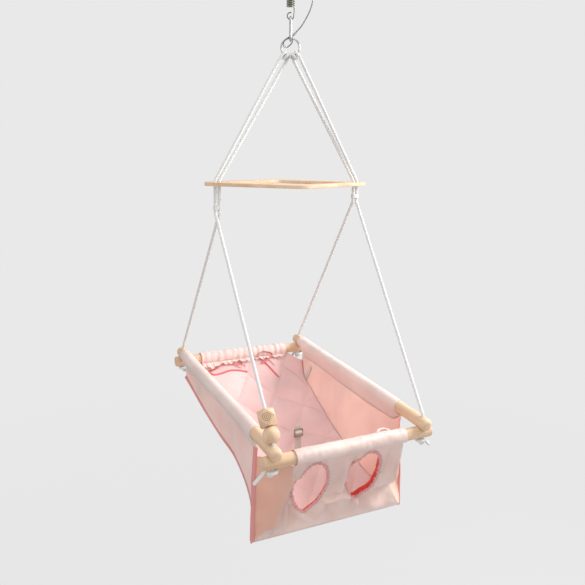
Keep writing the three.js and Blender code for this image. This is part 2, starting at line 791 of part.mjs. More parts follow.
// A sleeve along Y round a dowel, cut on the slant at its front end
function sidePanel(name, side) {
  const length = sideSleeveBack + sideSleeveFront;
  const wall = new THREE.LatheGeometry([
    new THREE.Vector2(sleeveInner, -length / 2), new THREE.Vector2(sleeveOuter, -length / 2),
    new THREE.Vector2(sleeveOuter, length / 2), new THREE.Vector2(sleeveInner, length / 2),
    new THREE.Vector2(sleeveInner, -length / 2),
  ], roundSides).translate(0, (sideSleeveBack - sideSleeveFront) / 2, 0);
  const blockSize = 2 * dowelDiameter;
  const block = new THREE.BoxGeometry(blockSize, blockSize, blockSize).translate(0, -blockSize / 2, 0);
  block.rotateX(-Math.atan2(sideSleeveSlant, 2 * sleeveOuter));
  block.translate(0, sideSleeveSlant / 2 - sideSleeveFront, 0);
  const sleeve = cut(wall, [block]).translate(side * cornerX, 0, sideAxisW).applyMatrix4(frame.matrixWorld);
  const face = offset => (a, b) => sidePoint(side, a, b).add(at(offset, 0, 0));
  const cloth = sheet(face(clothThickness / 2), face(-clothThickness / 2), sideColumns, seamSteps);
  piece(name, join([sleeve, cloth]), clothPink);
}

// Webbing sewn flat on the inner face of a side panel
function sideTab(name, side, acrossShares, alongShares) {
  const face = offset => (a, b) => {
    const across = lerp(acrossShares[0], acrossShares[1], a);
    const along = lerp(alongShares[0], alongShares[1], b);
    return sidePoint(side, across, along).add(at(-side * offset, 0, 0));
  };
  const inner = clothThickness / 2 + tabClearance;
  piece(name, sheet(face(inner), face(inner + strapThickness), tabColumns, tabColumns), webbingGrey);
}

function piping(name, side) {
  const points = [];
  for (let step = 0; step <= seamSteps; step += 1) {
    const point = seam.getPoint(step / seamSteps);
    point.x *= side;
    points.push(point);
  }
  piece(name, sweep(points, pipingDiameter / 2), trimPink);
}

// The seat hangs between the seams and sags in the middle, with its back corners cut away
const backAxis = inFrame(0, cornerV, crossAxisW);
const backReach = sleeveOuter + ruffleDepth + seatGap + clothThickness / 2;
const seatBackY = backAxis.y - backReach * Math.sin(seatMeet);
const seatBackZ = backAxis.z - backReach * Math.cos(seatMeet);

function seatPoint(across, along) {
  const edge = seam.getPoint(along);
  const half = edge.x - seamReach;
  const x = lerp(-half, half, across);
  const rise = THREE.MathUtils.smoothstep(half - Math.abs(x), 0, seatCornerCut) * (1 - along) ** 3;
  const sag = seatSag * Math.sin(Math.PI * along) * (1 - (x / half) ** 2);
  return at(x, lerp(edge.y, seatBackY, rise), lerp(edge.z, seatBackZ, rise) - sag);
}

function seatSheet() {
  const face = offset => (a, b) => seatPoint(a, b).add(at(0, 0, offset));
  const cloth = sheet(face(clothThickness / 2), face(-clothThickness / 2), seatColumns, seamSteps);
  piece('seat_sheet', cloth, clothPink);
}

// Where the seat's middle line has the given Y
function seatShareAt(y) {
  let low = 0;
  let high = 1;
  for (let step = 0; step < searchSteps; step += 1) {
    const middle = (low + high) / 2;
    if (seatPoint(0.5, middle).y > y) low = middle;
    else high = middle;
  }
  return low;
}

// A point on the flat facets of the seat sheet
function seatFacet(across, along) {
  const column = Math.min(Math.floor(across * seatColumns), seatColumns - 1);
  const row = Math.min(Math.floor(along * seamSteps), seamSteps - 1);
  const spot = (c, r) => seatPoint(c / seatColumns, r / seamSteps);
  const near = spot(column, row).lerp(spot(column + 1, row), across * seatColumns - column);
  const far = spot(column, row + 1).lerp(spot(column + 1, row + 1), across * seatColumns - column);
  return near.lerp(far, along * seamSteps - row);
}

const padPoint = (across, along) => seatFacet(
  lerp((1 - padWidthShare) / 2, (1 + padWidthShare) / 2, across),
  lerp(padStartShare, padEndShare, along),
);

function padHeight(across, along) {
  const middle = padPoint(across, along);
  const run = seamBack.y - middle.y;
  const one = Math.abs(Math.sin(Math.PI * (middle.x / quiltWidth + run / quiltLength)));
  const other = Math.abs(Math.sin(Math.PI * (middle.x / quiltWidth - run / quiltLength)));
  const crown = lerp(padChannel, padThickness, Math.sqrt(one * other));
  const sideways = 1 - Math.abs(2 * across - 1) ** padRoundPower;
  const endways = 1 - Math.abs(2 * along - 1) ** padRoundPower;
  return Math.max(padEdge, crown * Math.min(sideways, endways) ** 0.5);
}

const padFoot = clothThickness / 2 + padLift;
const padTop = (a, b) => padPoint(a, b).add(at(0, 0, padFoot + padHeight(a, b)));

// The slider's middle, in front of the line from which the strap comes up
const strapSpot = inFrame(0, -strapReach, -strapFall);

function seatPad() {
  const under = (a, b) => padPoint(a, b).add(at(0, 0, padFoot));
  const pad = sheet(padTop, under, padColumns, padRows);
  const slot = new THREE.BoxGeometry(
    strapWidth + 2 * strapSlotMargin,
    strapThickness + 2 * strapSlotMargin,
    2 * seatSag,
  );
  const middle = seatPoint(0.5, seatShareAt(strapSpot.y));
  piece('seat_pad', cut(pad, [slot.translate(0, strapSpot.y, middle.z)]), padPink);
}

// A flat strap along a route in an upright plane across X
function ribbon(route, width, thickness) {
  const sections = route.map((point, index) => {
    const before = route[Math.max(0, index - 1)];
    const after = route[Math.min(route.length - 1, index + 1)];
    const way = after.clone().sub(before).normalize();
    const across = at(0, -way.z, way.y).multiplyScalar(thickness / 2);
    const corner = (side, face) => point.clone()
      .addScaledVector(across, face)
      .add(at((side * width) / 2, 0, 0));
    return [corner(-1, 1), corner(1, 1), corner(1, -1), corner(-1, -1)];
  });
  return loft(sections);
}

// The crotch strap comes up through the pad and weaves behind, before and behind the slider's bars
function crotchStrap() {
  const sliderZ = strapSpot.z;
  const bar = sliderBar / 2;
  const edge = sliderHeight / 2;
  const behind = strapSpot.y;
  const middleY = behind - sliderThickness / 2 - seatGap - strapThickness / 2;
  const before = 2 * middleY - behind;
  const foot = seatFacet(0.5, seatShareAt(behind)).z + clothThickness / 2 + strapSeat;
  const inset = strapThickness / 4;
  const route = [
    at(0, behind, foot),
    at(0, behind, sliderZ - edge + sliderBar + inset),
    at(0, before, sliderZ - bar - inset),
    at(0, before, sliderZ + bar + inset),
    at(0, behind, sliderZ + edge - sliderBar - inset),
    at(0, behind, sliderZ + edge + tabEnd),
  ];
  piece('crotch_strap', ribbon(route, strapWidth, strapThickness), webbingGrey);
  const plate = new THREE.BoxGeometry(sliderWidth, sliderThickness, sliderHeight);
  const window = (sliderHeight - 3 * sliderBar) / 2;
  const windows = [-1, 1].map(side => new THREE.BoxGeometry(
    strapWidth + 2 * strapClearance,
    sliderThickness + overrun,
    window,
  ).translate(0, 0, (side * (window + sliderBar)) / 2));
  const slider = piece('strap_slider', cut(plate, windows), plasticGrey);
  slider.position.set(0, middleY, sliderZ);
}

// Lengthwise sleeve round the back dowel, gathered into ruffles
function backSleeve() {
  const sections = [];
  for (let turn = 0; turn < ruffleTurns; turn += 1) {
    const angle = (2 * Math.PI * turn) / ruffleTurns;
    const spot = (x, radius) => inFrame(
      x,
      cornerV + radius * Math.cos(angle),
      crossAxisW + radius * Math.sin(angle),
    );
    const inner = sleeveInner / Math.cos(Math.PI / ruffleTurns);
    const outerRow = [];
    const innerRow = [];
    for (let column = 0; column <= ruffleColumns; column += 1) {
      const share = column / ruffleColumns;
      const x = lerp(-backSleeveHalf, backSleeveHalf, share);
      const wave = Math.sin(2 * Math.PI * ruffleCount * share + Math.cos(angle));
      outerRow.push(spot(x, sleeveOuter + (ruffleDepth * (1 + wave)) / 2));
      innerRow.push(spot(x, inner));
    }
    sections.push([...outerRow, ...innerRow.reverse()]);
  }
  piece('back_sleeve', loft(sections, true), clothPale);
}

// The front panel hangs from its sleeve and leans in towards the seat, with two leg holes
const frontAxis = inFrame(0, -cornerV, crossAxisW);
const frontHead = frontAxis.clone().add(at(0, 0, -sleeveMiddle));
const frontFoot = seamFront.clone().add(at(0, -frontPanelLead, -frontPanelHem));
const frontFootHalf = seam.getPoint(1).x;
const frontFall = frontFoot.clone().sub(frontHead).normalize();
const frontFace = at(0, frontFall.z, -frontFall.y);

function frontPoint(across, along) {
  const half = lerp(frontSleeveHalf, frontFootHalf, along ** apronPower);
  const fold = frontFold * Math.cos(2 * Math.PI * frontFolds * across) * Math.sin(Math.PI * along);
  const point = frontHead.clone().lerp(frontFoot, along).addScaledVector(frontFace, fold);
  point.x = lerp(-half, half, across);
  return point;
}

const legHoleCentre = side => frontHead.clone()
  .addScaledVector(frontFall, legHoleDrop)
  .add(at(legHoleAside + side * (frontSleeveHalf - legHoleInset), 0, 0));
const bindingHalfWidth = (legHoleWidth + bindingDiameter) / 2;
const bindingHalfLength = (legHoleLength + bindingDiameter) / 2;

function frontPanel() {
  const face = offset => (a, b) => frontPoint(a, b).addScaledVector(frontFace, offset);
  const cloth = sheet(face(clothThickness / 2), face(-clothThickness / 2), frontColumns, frontRows);
  const sleeve = new THREE.LatheGeometry([
    new THREE.Vector2(sleeveInner, -frontSleeveHalf), new THREE.Vector2(sleeveOuter, -frontSleeveHalf),
    new THREE.Vector2(sleeveOuter, frontSleeveHalf), new THREE.Vector2(sleeveInner, frontSleeveHalf),
    new THREE.Vector2(sleeveInner, -frontSleeveHalf),
  ], roundSides).rotateZ(Math.PI / 2).translate(frontAxis.x, frontAxis.y, frontAxis.z);
  const rim = bindingDiameter / 2 + seatGap;
  const holes = [-1, 1].map(side => {
    const centre = legHoleCentre(side);
    const punch = new THREE.CylinderGeometry(1, 1, dowelDiameter, roundSides);
    punch.scale(bindingHalfWidth + rim, 1, bindingHalfLength + rim);
    punch.rotateX(Math.atan2(frontFall.y, -frontFall.z));
    return punch.translate(centre.x, centre.y, centre.z);
  });
  piece('front_panel', cut(join([sleeve, cloth]), holes), clothPale);
}

function legBinding(name, side) {
  const centre = legHoleCentre(side);
  const sections = [];
  for (let step = 0; step < roundSides; step += 1) {
    const angle = (2 * Math.PI * step) / roundSides;
    const outward = at(Math.cos(angle), 0, 0).addScaledVector(frontFall, Math.sin(angle));
    const middle = centre.clone().add(at(bindingHalfWidth * Math.cos(angle), 0, 0));
    middle.addScaledVector(frontFall, bindingHalfLength * Math.sin(angle));
    const section = [];
    for (let k = 0; k < bindingSides; k += 1) {
      const turn = (2 * Math.PI * k) / bindingSides;
      const point = middle.clone().addScaledVector(outward, (bindingDiameter / 2) * Math.cos(turn));
      section.push(point.addScaledVector(frontFace, (bindingDiameter / 2) * Math.sin(turn)));
    }
    sections.push(section);
  }
  piece(name, loft(sections, true), trimPink);
}

// Ribbon ties lie on the pad below the back sleeve
function padTie(name, routeShares) {
  const points = routeShares.map(([across, along]) => padTop(across, along).add(at(0, 0, tieLift)));
  const route = new THREE.CatmullRomCurve3(points).getPoints(tieSteps);
  piece(name, sweep(route, ribbonDiameter / 2), trimPink);
}

// Safety cable: a loop through the ring and round the snap hook, a slack run and a loop on the eye
const cableRoute = (points, baseZ) => points.map(([x, y, z]) => at(x, y, baseZ + z));
const cableSide = at(0, 1, 0);
const lowerAim = at(0.68, 0, 0.73).normalize();
const upperAim = at(-0.65, 0, 0.76).normalize();
const upperSide = at(0.76, 0, 0.65).normalize();
const lowerFerrule = at(lowerFerruleReach, 0, ringZ + lowerFerruleRise);
const upperFerrule = at(upperFerruleReach, upperFerruleAside, eyeBarZ - upperFerruleDrop);

// Hand-chosen points, the lower ones from the ring's middle and the upper ones from the eye's bar
const lowerLoopPoints = [
  [0, -4.3, 25.8], [-10, -4.4, 19.8], [-17.5, -4, 10], [-15, -1, 3], [-9, 2, 1.5],
  [-1, 3.5, 7], [4, 4.4, 13], [5.5, 4.8, 21],
];
const lowerRunPoints = [[26, 0, 50], [41, 0, 74], [50, 0, 94], [55, 0, 116], [56, -1, 140], [51, -3, 164]];
const upperRunPoints = [[40, -6, -38]];
const upperLoopPoints = [
  [13, -7, -4], [8, -7, 3], [4, -7, 7.2], [0, -7, 8.6], [-6, -7, 5], [-7.5, -7, -1],
  [-3, -7, -6], [5, -7, -10.5], [12, -7, -14],
];

function ferrule(name, foot, aim, wide) {
  const half = (ferruleWidth - ferruleThickness) / 2;
  const section = new THREE.Shape();
  section.absarc(half, 0, ferruleThickness / 2, -Math.PI / 2, Math.PI / 2);
  section.absarc(-half, 0, ferruleThickness / 2, Math.PI / 2, (3 * Math.PI) / 2);
  const body = new THREE.ExtrudeGeometry(section, {
    depth: ferruleLength,
    bevelEnabled: false,
    curveSegments: cordSides,
  });
  const basis = new THREE.Matrix4().makeBasis(wide, aim.clone().cross(wide), aim);
  body.applyMatrix4(basis.setPosition(foot));
  piece(name, body, steel, hardware);
}

// Both ends of a loop run straight out of the ferrule's face, side by side
function cableLoop(name, face, aim, wide, middle) {
  const strand = (side, run) => face.clone()
    .addScaledVector(wide, (side * (cableDiameter + 2 * seatGap)) / 2)
    .addScaledVector(aim, seatGap + run);
  const curve = new THREE.CatmullRomCurve3([strand(-1, cableDiameter), ...middle, strand(1, cableDiameter)]);
  const points = [strand(-1, 0), ...curve.getPoints(loopSteps), strand(1, 0)];
  piece(name, sweep(points, cableDiameter / 2), darkSteel, hardware);
}

function safetyCable() {
  const back = lowerAim.clone().negate();
  ferrule('lower_cable_ferrule', lowerFerrule, lowerAim, cableSide);
  ferrule('upper_cable_ferrule', upperFerrule, upperAim, upperSide);
  cableLoop('lower_cable_loop', lowerFerrule, back, cableSide, cableRoute(lowerLoopPoints, ringZ));
  const upperFace = upperFerrule.clone().addScaledVector(upperAim, ferruleLength);
  const fromEye = cableRoute(upperLoopPoints, eyeBarZ).reverse();
  cableLoop('upper_cable_loop', upperFace, upperAim, upperSide, fromEye);
  const from = run => lowerFerrule.clone().addScaledVector(lowerAim, ferruleLength + seatGap + run);
  const to = run => upperFerrule.clone().addScaledVector(upperAim, -seatGap - run);
  const run = new THREE.CatmullRomCurve3([
    from(cableDiameter),
    ...cableRoute(lowerRunPoints, ringZ),
    ...cableRoute(upperRunPoints, eyeBarZ),
    to(cableDiameter),
  ]);
  const route = [from(0), ...run.getPoints(cableSteps), to(0)];
  piece('safety_cable', sweep(route, cableDiameter / 2), darkSteel, hardware);
}

// A ribbon tie stands up behind the front sleeve: along X, angle from upright and lift off the sleeve
const frontTiePoints = [[76, 24, 0], [80, 34, 5], [88, 42, 11], [98, 44, 12], [106, 38, 6], [110, 28, 0]];

function frontTie() {
  const points = frontTiePoints.map(([x, angle, lift]) => {
    const reach = sleeveOuter + seatGap + ribbonDiameter / 2 + lift;
    const turn = THREE.MathUtils.degToRad(angle);
    return at(x, frontAxis.y + reach * Math.sin(turn), frontAxis.z + reach * Math.cos(turn));
  });
  const route = new THREE.CatmullRomCurve3(points).getPoints(tieSteps);
  piece('front_tie', sweep(route, ribbonDiameter / 2), trimPink);
}

ceilingPlate();
ceilingEye();
springLoop('spring_upper_loop', upperLoopZ, coilTopZ);
springCoil();
springLoop('spring_lower_loop', lowerLoopZ, coilBottomZ);
snapHookBody();
snapHookGate();
ring();
safetyCable();
rope('left_rope', -1, leftSplitDrop, frontLeftTail, backLeftTail);
rope('right_rope', 1, rightSplitDrop, frontRightTail, backRightTail);
whipping('left_whipping', -1, leftSplitDrop);
whipping('right_whipping', 1, rightSplitDrop);
spreader();
beads();
sideDowel('left_dowel', -1);
sideDowel('right_dowel', 1);
crossDowel('front_dowel', -1);
crossDowel('back_dowel', 1);
sidePanel('left_side_panel', -1);
sidePanel('right_side_panel', 1);
piping('left_piping', -1);
piping('right_piping', 1);
backSleeve();
frontPanel();
legBinding('left_leg_binding', -1);
legBinding('right_leg_binding', 1);
seatSheet();
seatPad();
crotchStrap();
sideTab('left_waist_tab', -1, waistAcrossShares, waistAlongShares);
sideTab('right_waist_tab', 1, waistAcrossShares, waistAlongShares);
sideTab('right_strap_end', 1, strapEndAcrossShares, strapEndAlongShares);
padTie('left_tie', leftTieShares);
padTie('right_tie', rightTieShares);
frontTie();

export default cradle;
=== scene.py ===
import json
from math import acos, atan2, ceil, copysign, cos, exp, hypot, pi, radians, sin, sqrt, tan

import bmesh
import bpy
import numpy as np
from mathutils import Matrix, Vector, noise

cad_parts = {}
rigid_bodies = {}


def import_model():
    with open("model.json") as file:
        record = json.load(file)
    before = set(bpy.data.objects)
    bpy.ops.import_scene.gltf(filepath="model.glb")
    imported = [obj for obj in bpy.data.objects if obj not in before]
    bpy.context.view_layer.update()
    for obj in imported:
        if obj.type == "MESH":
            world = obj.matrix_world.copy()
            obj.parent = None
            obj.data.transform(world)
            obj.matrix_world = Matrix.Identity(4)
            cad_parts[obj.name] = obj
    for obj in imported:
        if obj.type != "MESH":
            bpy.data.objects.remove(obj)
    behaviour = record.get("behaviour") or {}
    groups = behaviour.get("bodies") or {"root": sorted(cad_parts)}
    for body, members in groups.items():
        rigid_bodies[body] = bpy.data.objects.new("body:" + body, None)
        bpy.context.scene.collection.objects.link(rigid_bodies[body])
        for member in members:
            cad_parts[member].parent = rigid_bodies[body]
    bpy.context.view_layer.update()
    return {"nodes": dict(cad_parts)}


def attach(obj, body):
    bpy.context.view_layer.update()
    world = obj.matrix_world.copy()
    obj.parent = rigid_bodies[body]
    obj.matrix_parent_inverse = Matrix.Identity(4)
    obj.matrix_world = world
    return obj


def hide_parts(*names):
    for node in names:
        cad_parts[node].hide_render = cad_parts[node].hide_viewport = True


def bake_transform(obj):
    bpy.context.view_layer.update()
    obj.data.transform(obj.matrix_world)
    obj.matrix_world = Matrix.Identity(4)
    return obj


for old in list(bpy.data.objects):
    bpy.data.objects.remove(old)
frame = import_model()
print("frame loaded:", len(frame["nodes"]), "nodes")

mm = 0.001  # routes and surfaces are worked out in millimetres, in the row frame
gap = 0.3  # between a piece and what carries it
bothSides = (("left", -1), ("right", 1))

ring = {"diameter": 50, "wire": 4.5}
steel = {
    "plate": 60, "plateThickness": 4, "plateHole": 5, "holeCircle": 42, "plateEdge": 0.6,
    "eyeWire": 6, "eyeBend": 14, "eyeDrop": 21, "springWire": 3, "springDiameter": 21, "springLength": 113,
    "curls": 21, "neck": 6, "loopRadius": 8, "loopTurn": radians(285), "hookWire": 6, "hookLength": 60,
    "hookWidth": 26, "noseDrop": 4, "lug": 2.4, "lugRadius": 2.6, "lugHeight": 4.2, "gateSlot": 3,
    "gateSlotDepth": 3.2, "gateHeel": 2.2, "gateMouth": 0.6, "pin": 1.5,
}
eyeLevel = -steel["plateThickness"] - steel["eyeDrop"]
hangGap = gap + steel["springWire"] / 2
upperLoop = eyeLevel + steel["eyeWire"] / 2 + hangGap - steel["loopRadius"]
coilTop = upperLoop - steel["loopRadius"] - steel["neck"]
coilBottom = coilTop - steel["springLength"]
lowerLoop = coilBottom - steel["neck"] - steel["loopRadius"]
hookTop = lowerLoop - steel["loopRadius"] + hangGap + steel["hookWire"] / 2
hookBottom = hookTop - (steel["hookLength"] - steel["hookWire"])
coilRadius = (steel["springDiameter"] - steel["springWire"]) / 2
hookRadius = (steel["hookWidth"] - steel["hookWire"]) / 2
gateTop = hookTop - hookRadius - steel["noseDrop"] - steel["gateMouth"]
pinLevel = hookBottom + hookRadius + steel["lugHeight"]
ringRadius = (ring["diameter"] - ring["wire"]) / 2
ringMiddle = hookBottom + (steel["hookWire"] + ring["wire"]) / 2 + gap - ringRadius
ringLevel = ringMiddle - ring["diameter"] / 2  # the levels of the hanging parts are measured from here

cradle = {
    "width": 392, "length": 662, "drop": 827, "shift": -3, "tilt": radians(4.1),
    "dowel": 30, "spacing": 24.3, "overhang": 24,
}
cornerX = cradle["width"] / 2
cornerV = cradle["length"] / 2
dowelRadius = cradle["dowel"] / 2
sideLevel = -dowelRadius
crossLevel = sideLevel - cradle["spacing"]
hardwareTurn = radians(-24)


def lerp(a, b, t):
    return a + (b - a) * t


def shares(count):  # from 0 to 1 in that many steps
    return [k / count for k in range(count + 1)]


def circle(count):  # the angles of that many points
    return [2 * pi * k / count for k in range(count)]


def smoothStep(value, low, high):
    t = min(max((value - low) / (high - low), 0), 1)
    return t * t * (3 - 2 * t)


def inFrame(x, v, w):  # places on the tilted frame of dowels
    c, s = cos(cradle["tilt"]), sin(cradle["tilt"])
    base = ringLevel - cradle["drop"]
    return Vector((x, cradle["shift"] + v * c - w * s, base + v * s + w * c))


def inHardware(x, y, z):  # places on the turned hook, ring and spring
    c, s = cos(hardwareTurn), sin(hardwareTurn)
    return Vector((x * c - y * s, x * s + y * c, z))


def aside(x):
    return Vector((x, 0, 0))


def raised(z):
    return Vector((0, 0, z))


def wrinkle(place, *layers):  # smooth noise, each layer with its height, size and seed
    return sum(high * noise.noise(place / size + Vector((seed * 7.3, seed * 3.1, seed * 5.7)))
               for high, size, seed in layers)


def turned(angle, axis):
    return Matrix.Rotation(angle, 4, axis)


def placed(place, turn=Matrix()):
    return Matrix.Translation(place) @ turn


def linked(name, data):
    made = bpy.data.objects.new(name, data)
    bpy.context.scene.collection.objects.link(made)
    return made


# The camera stands where the photograph was taken from
camera = {
    "place": (-724.7, -1500.7, -551.4), "yaw": 0.4563, "pitch": 0.1824, "roll": 0.0069,
    "focal": 640, "middle": 293, "picture": 585, "sensor": 36, "clip": (0.05, 50),
}


def makeCamera():
    data = bpy.data.cameras.new("camera")
    data.sensor_width = camera["sensor"]
    data.lens = camera["sensor"] * camera["focal"] / camera["picture"]
    data.shift_x = (camera["picture"] / 2 - camera["middle"]) / camera["picture"]
    data.clip_start, data.clip_end = camera["clip"]
    yaw, pitch, roll = camera["yaw"], camera["pitch"], camera["roll"]
    forward = Vector((sin(yaw) * cos(pitch), cos(yaw) * cos(pitch), -sin(pitch)))
    level = Vector((cos(yaw), -sin(yaw), 0))
    rise = level.cross(forward)
    right = level * cos(roll) + rise * sin(roll)
    up = rise * cos(roll) - level * sin(roll)
    turn = Matrix((right, up, -forward)).transposed().to_4x4()
    eye = linked("camera", data)
    eye.matrix_world = placed(Vector(camera["place"]) * mm, turn)
    bpy.context.scene.camera = eye


def colour(red, green, blue):  # screen values to the renderer's linear ones
    def linear(value):
        share = value / 255
        return share / 12.92 if share < 0.04045 else ((share + 0.055) / 1.055) ** 2.4
    return (linear(red), linear(green), linear(blue), 1)


class Value:  # a node's socket that can stand in a sum
    def __init__(self, tree, socket):
        self.tree = tree
        self.socket = socket

    def __add__(self, other):
        return self.tree.maths("ADD", self, other)

    def __radd__(self, other):
        return self.tree.maths("ADD", other, self)

    def __sub__(self, other):
        return self.tree.maths("SUBTRACT", self, other)

    def __rsub__(self, other):
        return self.tree.maths("SUBTRACT", other, self)

    def __mul__(self, other):
        return self.tree.maths("MULTIPLY", self, other)

    def __rmul__(self, other):
        return self.tree.maths("MULTIPLY", other, self)


class Nodes:
    def __init__(self, tree):
        self.tree = tree

    def node(self, kind, settings=None, inputs=None):
        made = self.tree.nodes.new(kind)
        for name, value in (settings or {}).items():
            setattr(made, name, value)
        for name, value in (inputs or {}).items():
            if isinstance(value, Value):
                self.tree.links.new(value.socket, made.inputs[name])
            else:
                made.inputs[name].default_value = value
        return made

    def value(self, made, output=0):
        return Value(self, made.outputs[output])

    def maths(self, operation, *values):
        return self.value(self.node("ShaderNodeMath", {"operation": operation}, dict(enumerate(values))))

    def seenByCamera(self):  # 1 on rays that the camera follows, 0 on rays of light
        rays = self.node("ShaderNodeLightPath")
        direct, glossy, through = (self.value(rays, "Is " + kind + " Ray")
                                   for kind in ("Camera", "Glossy", "Transmission"))
        return self.maths("MAXIMUM", direct, self.maths("MAXIMUM", glossy, through))


class Finish(Nodes):
    def __init__(self, name, base, roughness, settings=None):
        self.material = bpy.data.materials.new(name)
        self.material.use_nodes = True
        super().__init__(self.material.node_tree)
        self.shader = self.material.node_tree.nodes["Principled BSDF"]
        for socket, value in {"Base Color": base, "Roughness": roughness, **(settings or {})}.items():
            self.shader.inputs[socket].default_value = value
        self.coordinates = self.node("ShaderNodeTexCoord")

    def place(self, scale=(1, 1, 1), turn=(0, 0, 0), source="Object"):
        return self.value(self.node("ShaderNodeMapping", None, {
            "Vector": self.value(self.coordinates, source), "Scale": scale, "Rotation": turn,
        }))

    def noise(self, place, scale, detail=2, roughness=0.5):
        return self.value(self.node("ShaderNodeTexNoise", None, {
            "Vector": place, "Scale": scale, "Detail": detail, "Roughness": roughness,
        }))

    def bands(self, place, pitch, direction):
        # A light and a dark band together take nearly two pitches, in metres
        return self.value(self.node("ShaderNodeTexWave", {"bands_direction": direction}, {
            "Vector": place, "Scale": 1 / pitch / waveTurn,
        }), 1)

    def parts(self, place):
        made = self.node("ShaderNodeSeparateXYZ", None, {"Vector": place})
        return [self.value(made, k) for k in range(3)]

    def clamp(self, value, low, high):
        return self.value(self.node("ShaderNodeMapRange", None, {
            "Value": value, "From Min": low, "From Max": high,
        }))

    def mix(self, share, first, second):
        made = self.node("ShaderNodeMix", {"data_type": "RGBA"}, {0: share, 6: first, 7: second})
        return self.value(made, 2)

    def join(self, socket, value):
        self.tree.links.new(value.socket, self.shader.inputs[socket])

    def bump(self, height, distance):
        made = self.node("ShaderNodeBump", None, {"Height": height, "Distance": distance})
        self.join("Normal", self.value(made))


waveTurn = 6.2832  # between a pitch and the scale of the wave texture
woodTint = {"light": colour(239, 209, 178), "dark": colour(219, 180, 143), "fleck": colour(188, 146, 108)}
woodGrain = {"across": 60, "along": 2.5, "fleckAcross": 520, "fleckAlong": 42}


def beech(name, turn, along):
    # Long soft grain with short darker flecks, running along the piece
    wood = Finish(name, woodTint["light"], 0.55, {"Specular IOR Level": 0.35})

    def stretched(wide, long):
        return wood.place([long if axis == along else wide for axis in range(3)], turn)

    grain = wood.noise(stretched(woodGrain["across"], woodGrain["along"]), 1, 4, 0.6)
    flecks = wood.noise(stretched(woodGrain["fleckAcross"], woodGrain["fleckAlong"]), 1, 1, 0.5)
    flecks = wood.clamp(flecks, 0.66, 0.72)
    shade = wood.mix(wood.clamp(grain, 0.35, 0.7), woodTint["light"], woodTint["dark"])
    wood.join("Base Color", wood.mix(flecks * 0.5, shade, woodTint["fleck"]))
    wood.join("Roughness", 0.5 + grain * 0.15)
    wood.bump(grain * 0.5 - flecks * 0.3, 0.0003)
    return wood


def darker(base, share):
    return tuple([c * share for c in base[:3]] + [1])


def cloth(name, base, roughness, weave=0.0006, sheen=0.25, gloss=0.3, mottleAndShade=0.05, through=0.35):
    # Plain weave in the piece's own UV map, which is laid out in metres
    fabric = Finish(name, base, roughness, {
        "Sheen Weight": sheen, "Sheen Roughness": 0.4, "Specular IOR Level": gloss,
        "Subsurface Weight": through, "Subsurface Radius": (0.004, 0.0019, 0.0015), "Subsurface Scale": 1.0,
    })
    place = fabric.place(source="UV")
    threads = fabric.bands(place, weave, "X") * fabric.bands(place, weave, "Y")
    crease = fabric.noise(fabric.place(), 26, 3, 0.55)
    # Broad darker patches: random mottle on most cloths; on the satin, where they are deeper, they are
    # painted shade
    mottleAndShadePatches = fabric.noise(fabric.place(), 9)
    fabric.join("Base Color", fabric.mix(fabric.clamp(mottleAndShadePatches, 0.35, 0.75), base, darker(base, 1 - 3 * mottleAndShade)))
    fabric.join("Roughness", roughness - 0.08 + 0.16 * threads)
    fabric.bump(threads * 0.12 + crease * 1.2, 0.0012)
    return fabric


# Each cloth: its name, slot, colour and roughness, and where it differs from plain cotton
cloths = {
    "sideCloth": ("side panel cotton", "pink_cloth", (253, 221, 213), 0.8, {"through": 0.42}),
    "seatCloth": ("seat cotton", "pink_cloth", (243, 201, 194), 0.85, {}),
    # The satin's deeper patches are painted shade, broad darker areas standing in for its soft shading
    "paleCloth": ("front panel satin", "pale_cloth", (252, 220, 209), 0.33,
                  {"weave": 0.0005, "sheen": 0.4, "gloss": 0.9, "mottleAndShade": 0.09, "through": 0.2}),
    "sleeveCloth": ("gathered sleeve cotton", "pale_cloth", (249, 218, 211), 0.8, {}),
    "padCloth": ("quilted cotton", "quilted_pad", (248, 213, 210), 0.85, {"weave": 0.0007}),
    "trim": ("dusky pink binding", "trim_cloth", (242, 160, 155), 0.75, {"weave": 0.0008, "through": 0}),
    "ruffle": ("mauve pink ruffle", "trim_cloth", (234, 178, 175), 0.75, {"through": 0}),
    "gusset": ("salmon lining", "pink_cloth", (248, 200, 180), 0.8, {"through": 0.15}),
    "ribbon": ("dusky pink ribbon", "trim_cloth", (222, 118, 120), 0.5,
               {"sheen": 0.5, "gloss": 0.5, "through": 0}),
    "facing": ("red leg hole facing", "trim_cloth", (222, 58, 48), 0.8, {"through": 0}),
    "thread": ("pale pink thread", "trim_cloth", (250, 232, 228), 0.7, {"weave": 0.0004, "through": 0}),
    "seamThread": ("quilting thread", "trim_cloth", (212, 150, 150), 0.8, {"weave": 0.0004, "through": 0}),
    "twine": ("white twine", "rope", (248, 246, 242), 0.9, {"weave": 0.0004, "through": 0}),
}
finishes = {}  # materials and slots


def makeFinishes():
    for key, (name, slot, tint, roughness, own) in cloths.items():
        finishes[key] = cloth(name, colour(*tint), roughness, **own).material, slot
    for key, name, tilt, along in (
        ("beechAcross", "beech along X", cradle["tilt"], 0),
        ("beechAlong", "beech along Y", -cradle["tilt"], 1),
        ("beechUpright", "beech upright", 0, 2),
        ("plywood", "beech plywood", -spreader["tilt"], 0),
    ):
        finishes[key] = beech(name, (tilt, 0, 0), along).material, "beech"
    for key, made, slot in (
        ("webbing", webbing(), "webbing"), ("rope", braid(), "rope"), ("cable", strand(), "cable_steel"),
        ("zinc", metal("zinc plated steel", colour(186, 188, 188), 0.28), "steel"),
        ("springSteel", metal("oiled spring steel", colour(132, 132, 120), 0.38), "spring_steel"),
        ("slider", metal("brushed slider", colour(188, 178, 168), 0.42), "slider_plastic"),
    ):
        finishes[key] = made.material, slot


# Pitches and lays are in metres
threads = {
    "rib": 0.0016, "yarn": 0.0011, "ropeStrands": 8, "ropeLay": 0.0052, "cableStrands": 7, "cableLay": 0.004,
}


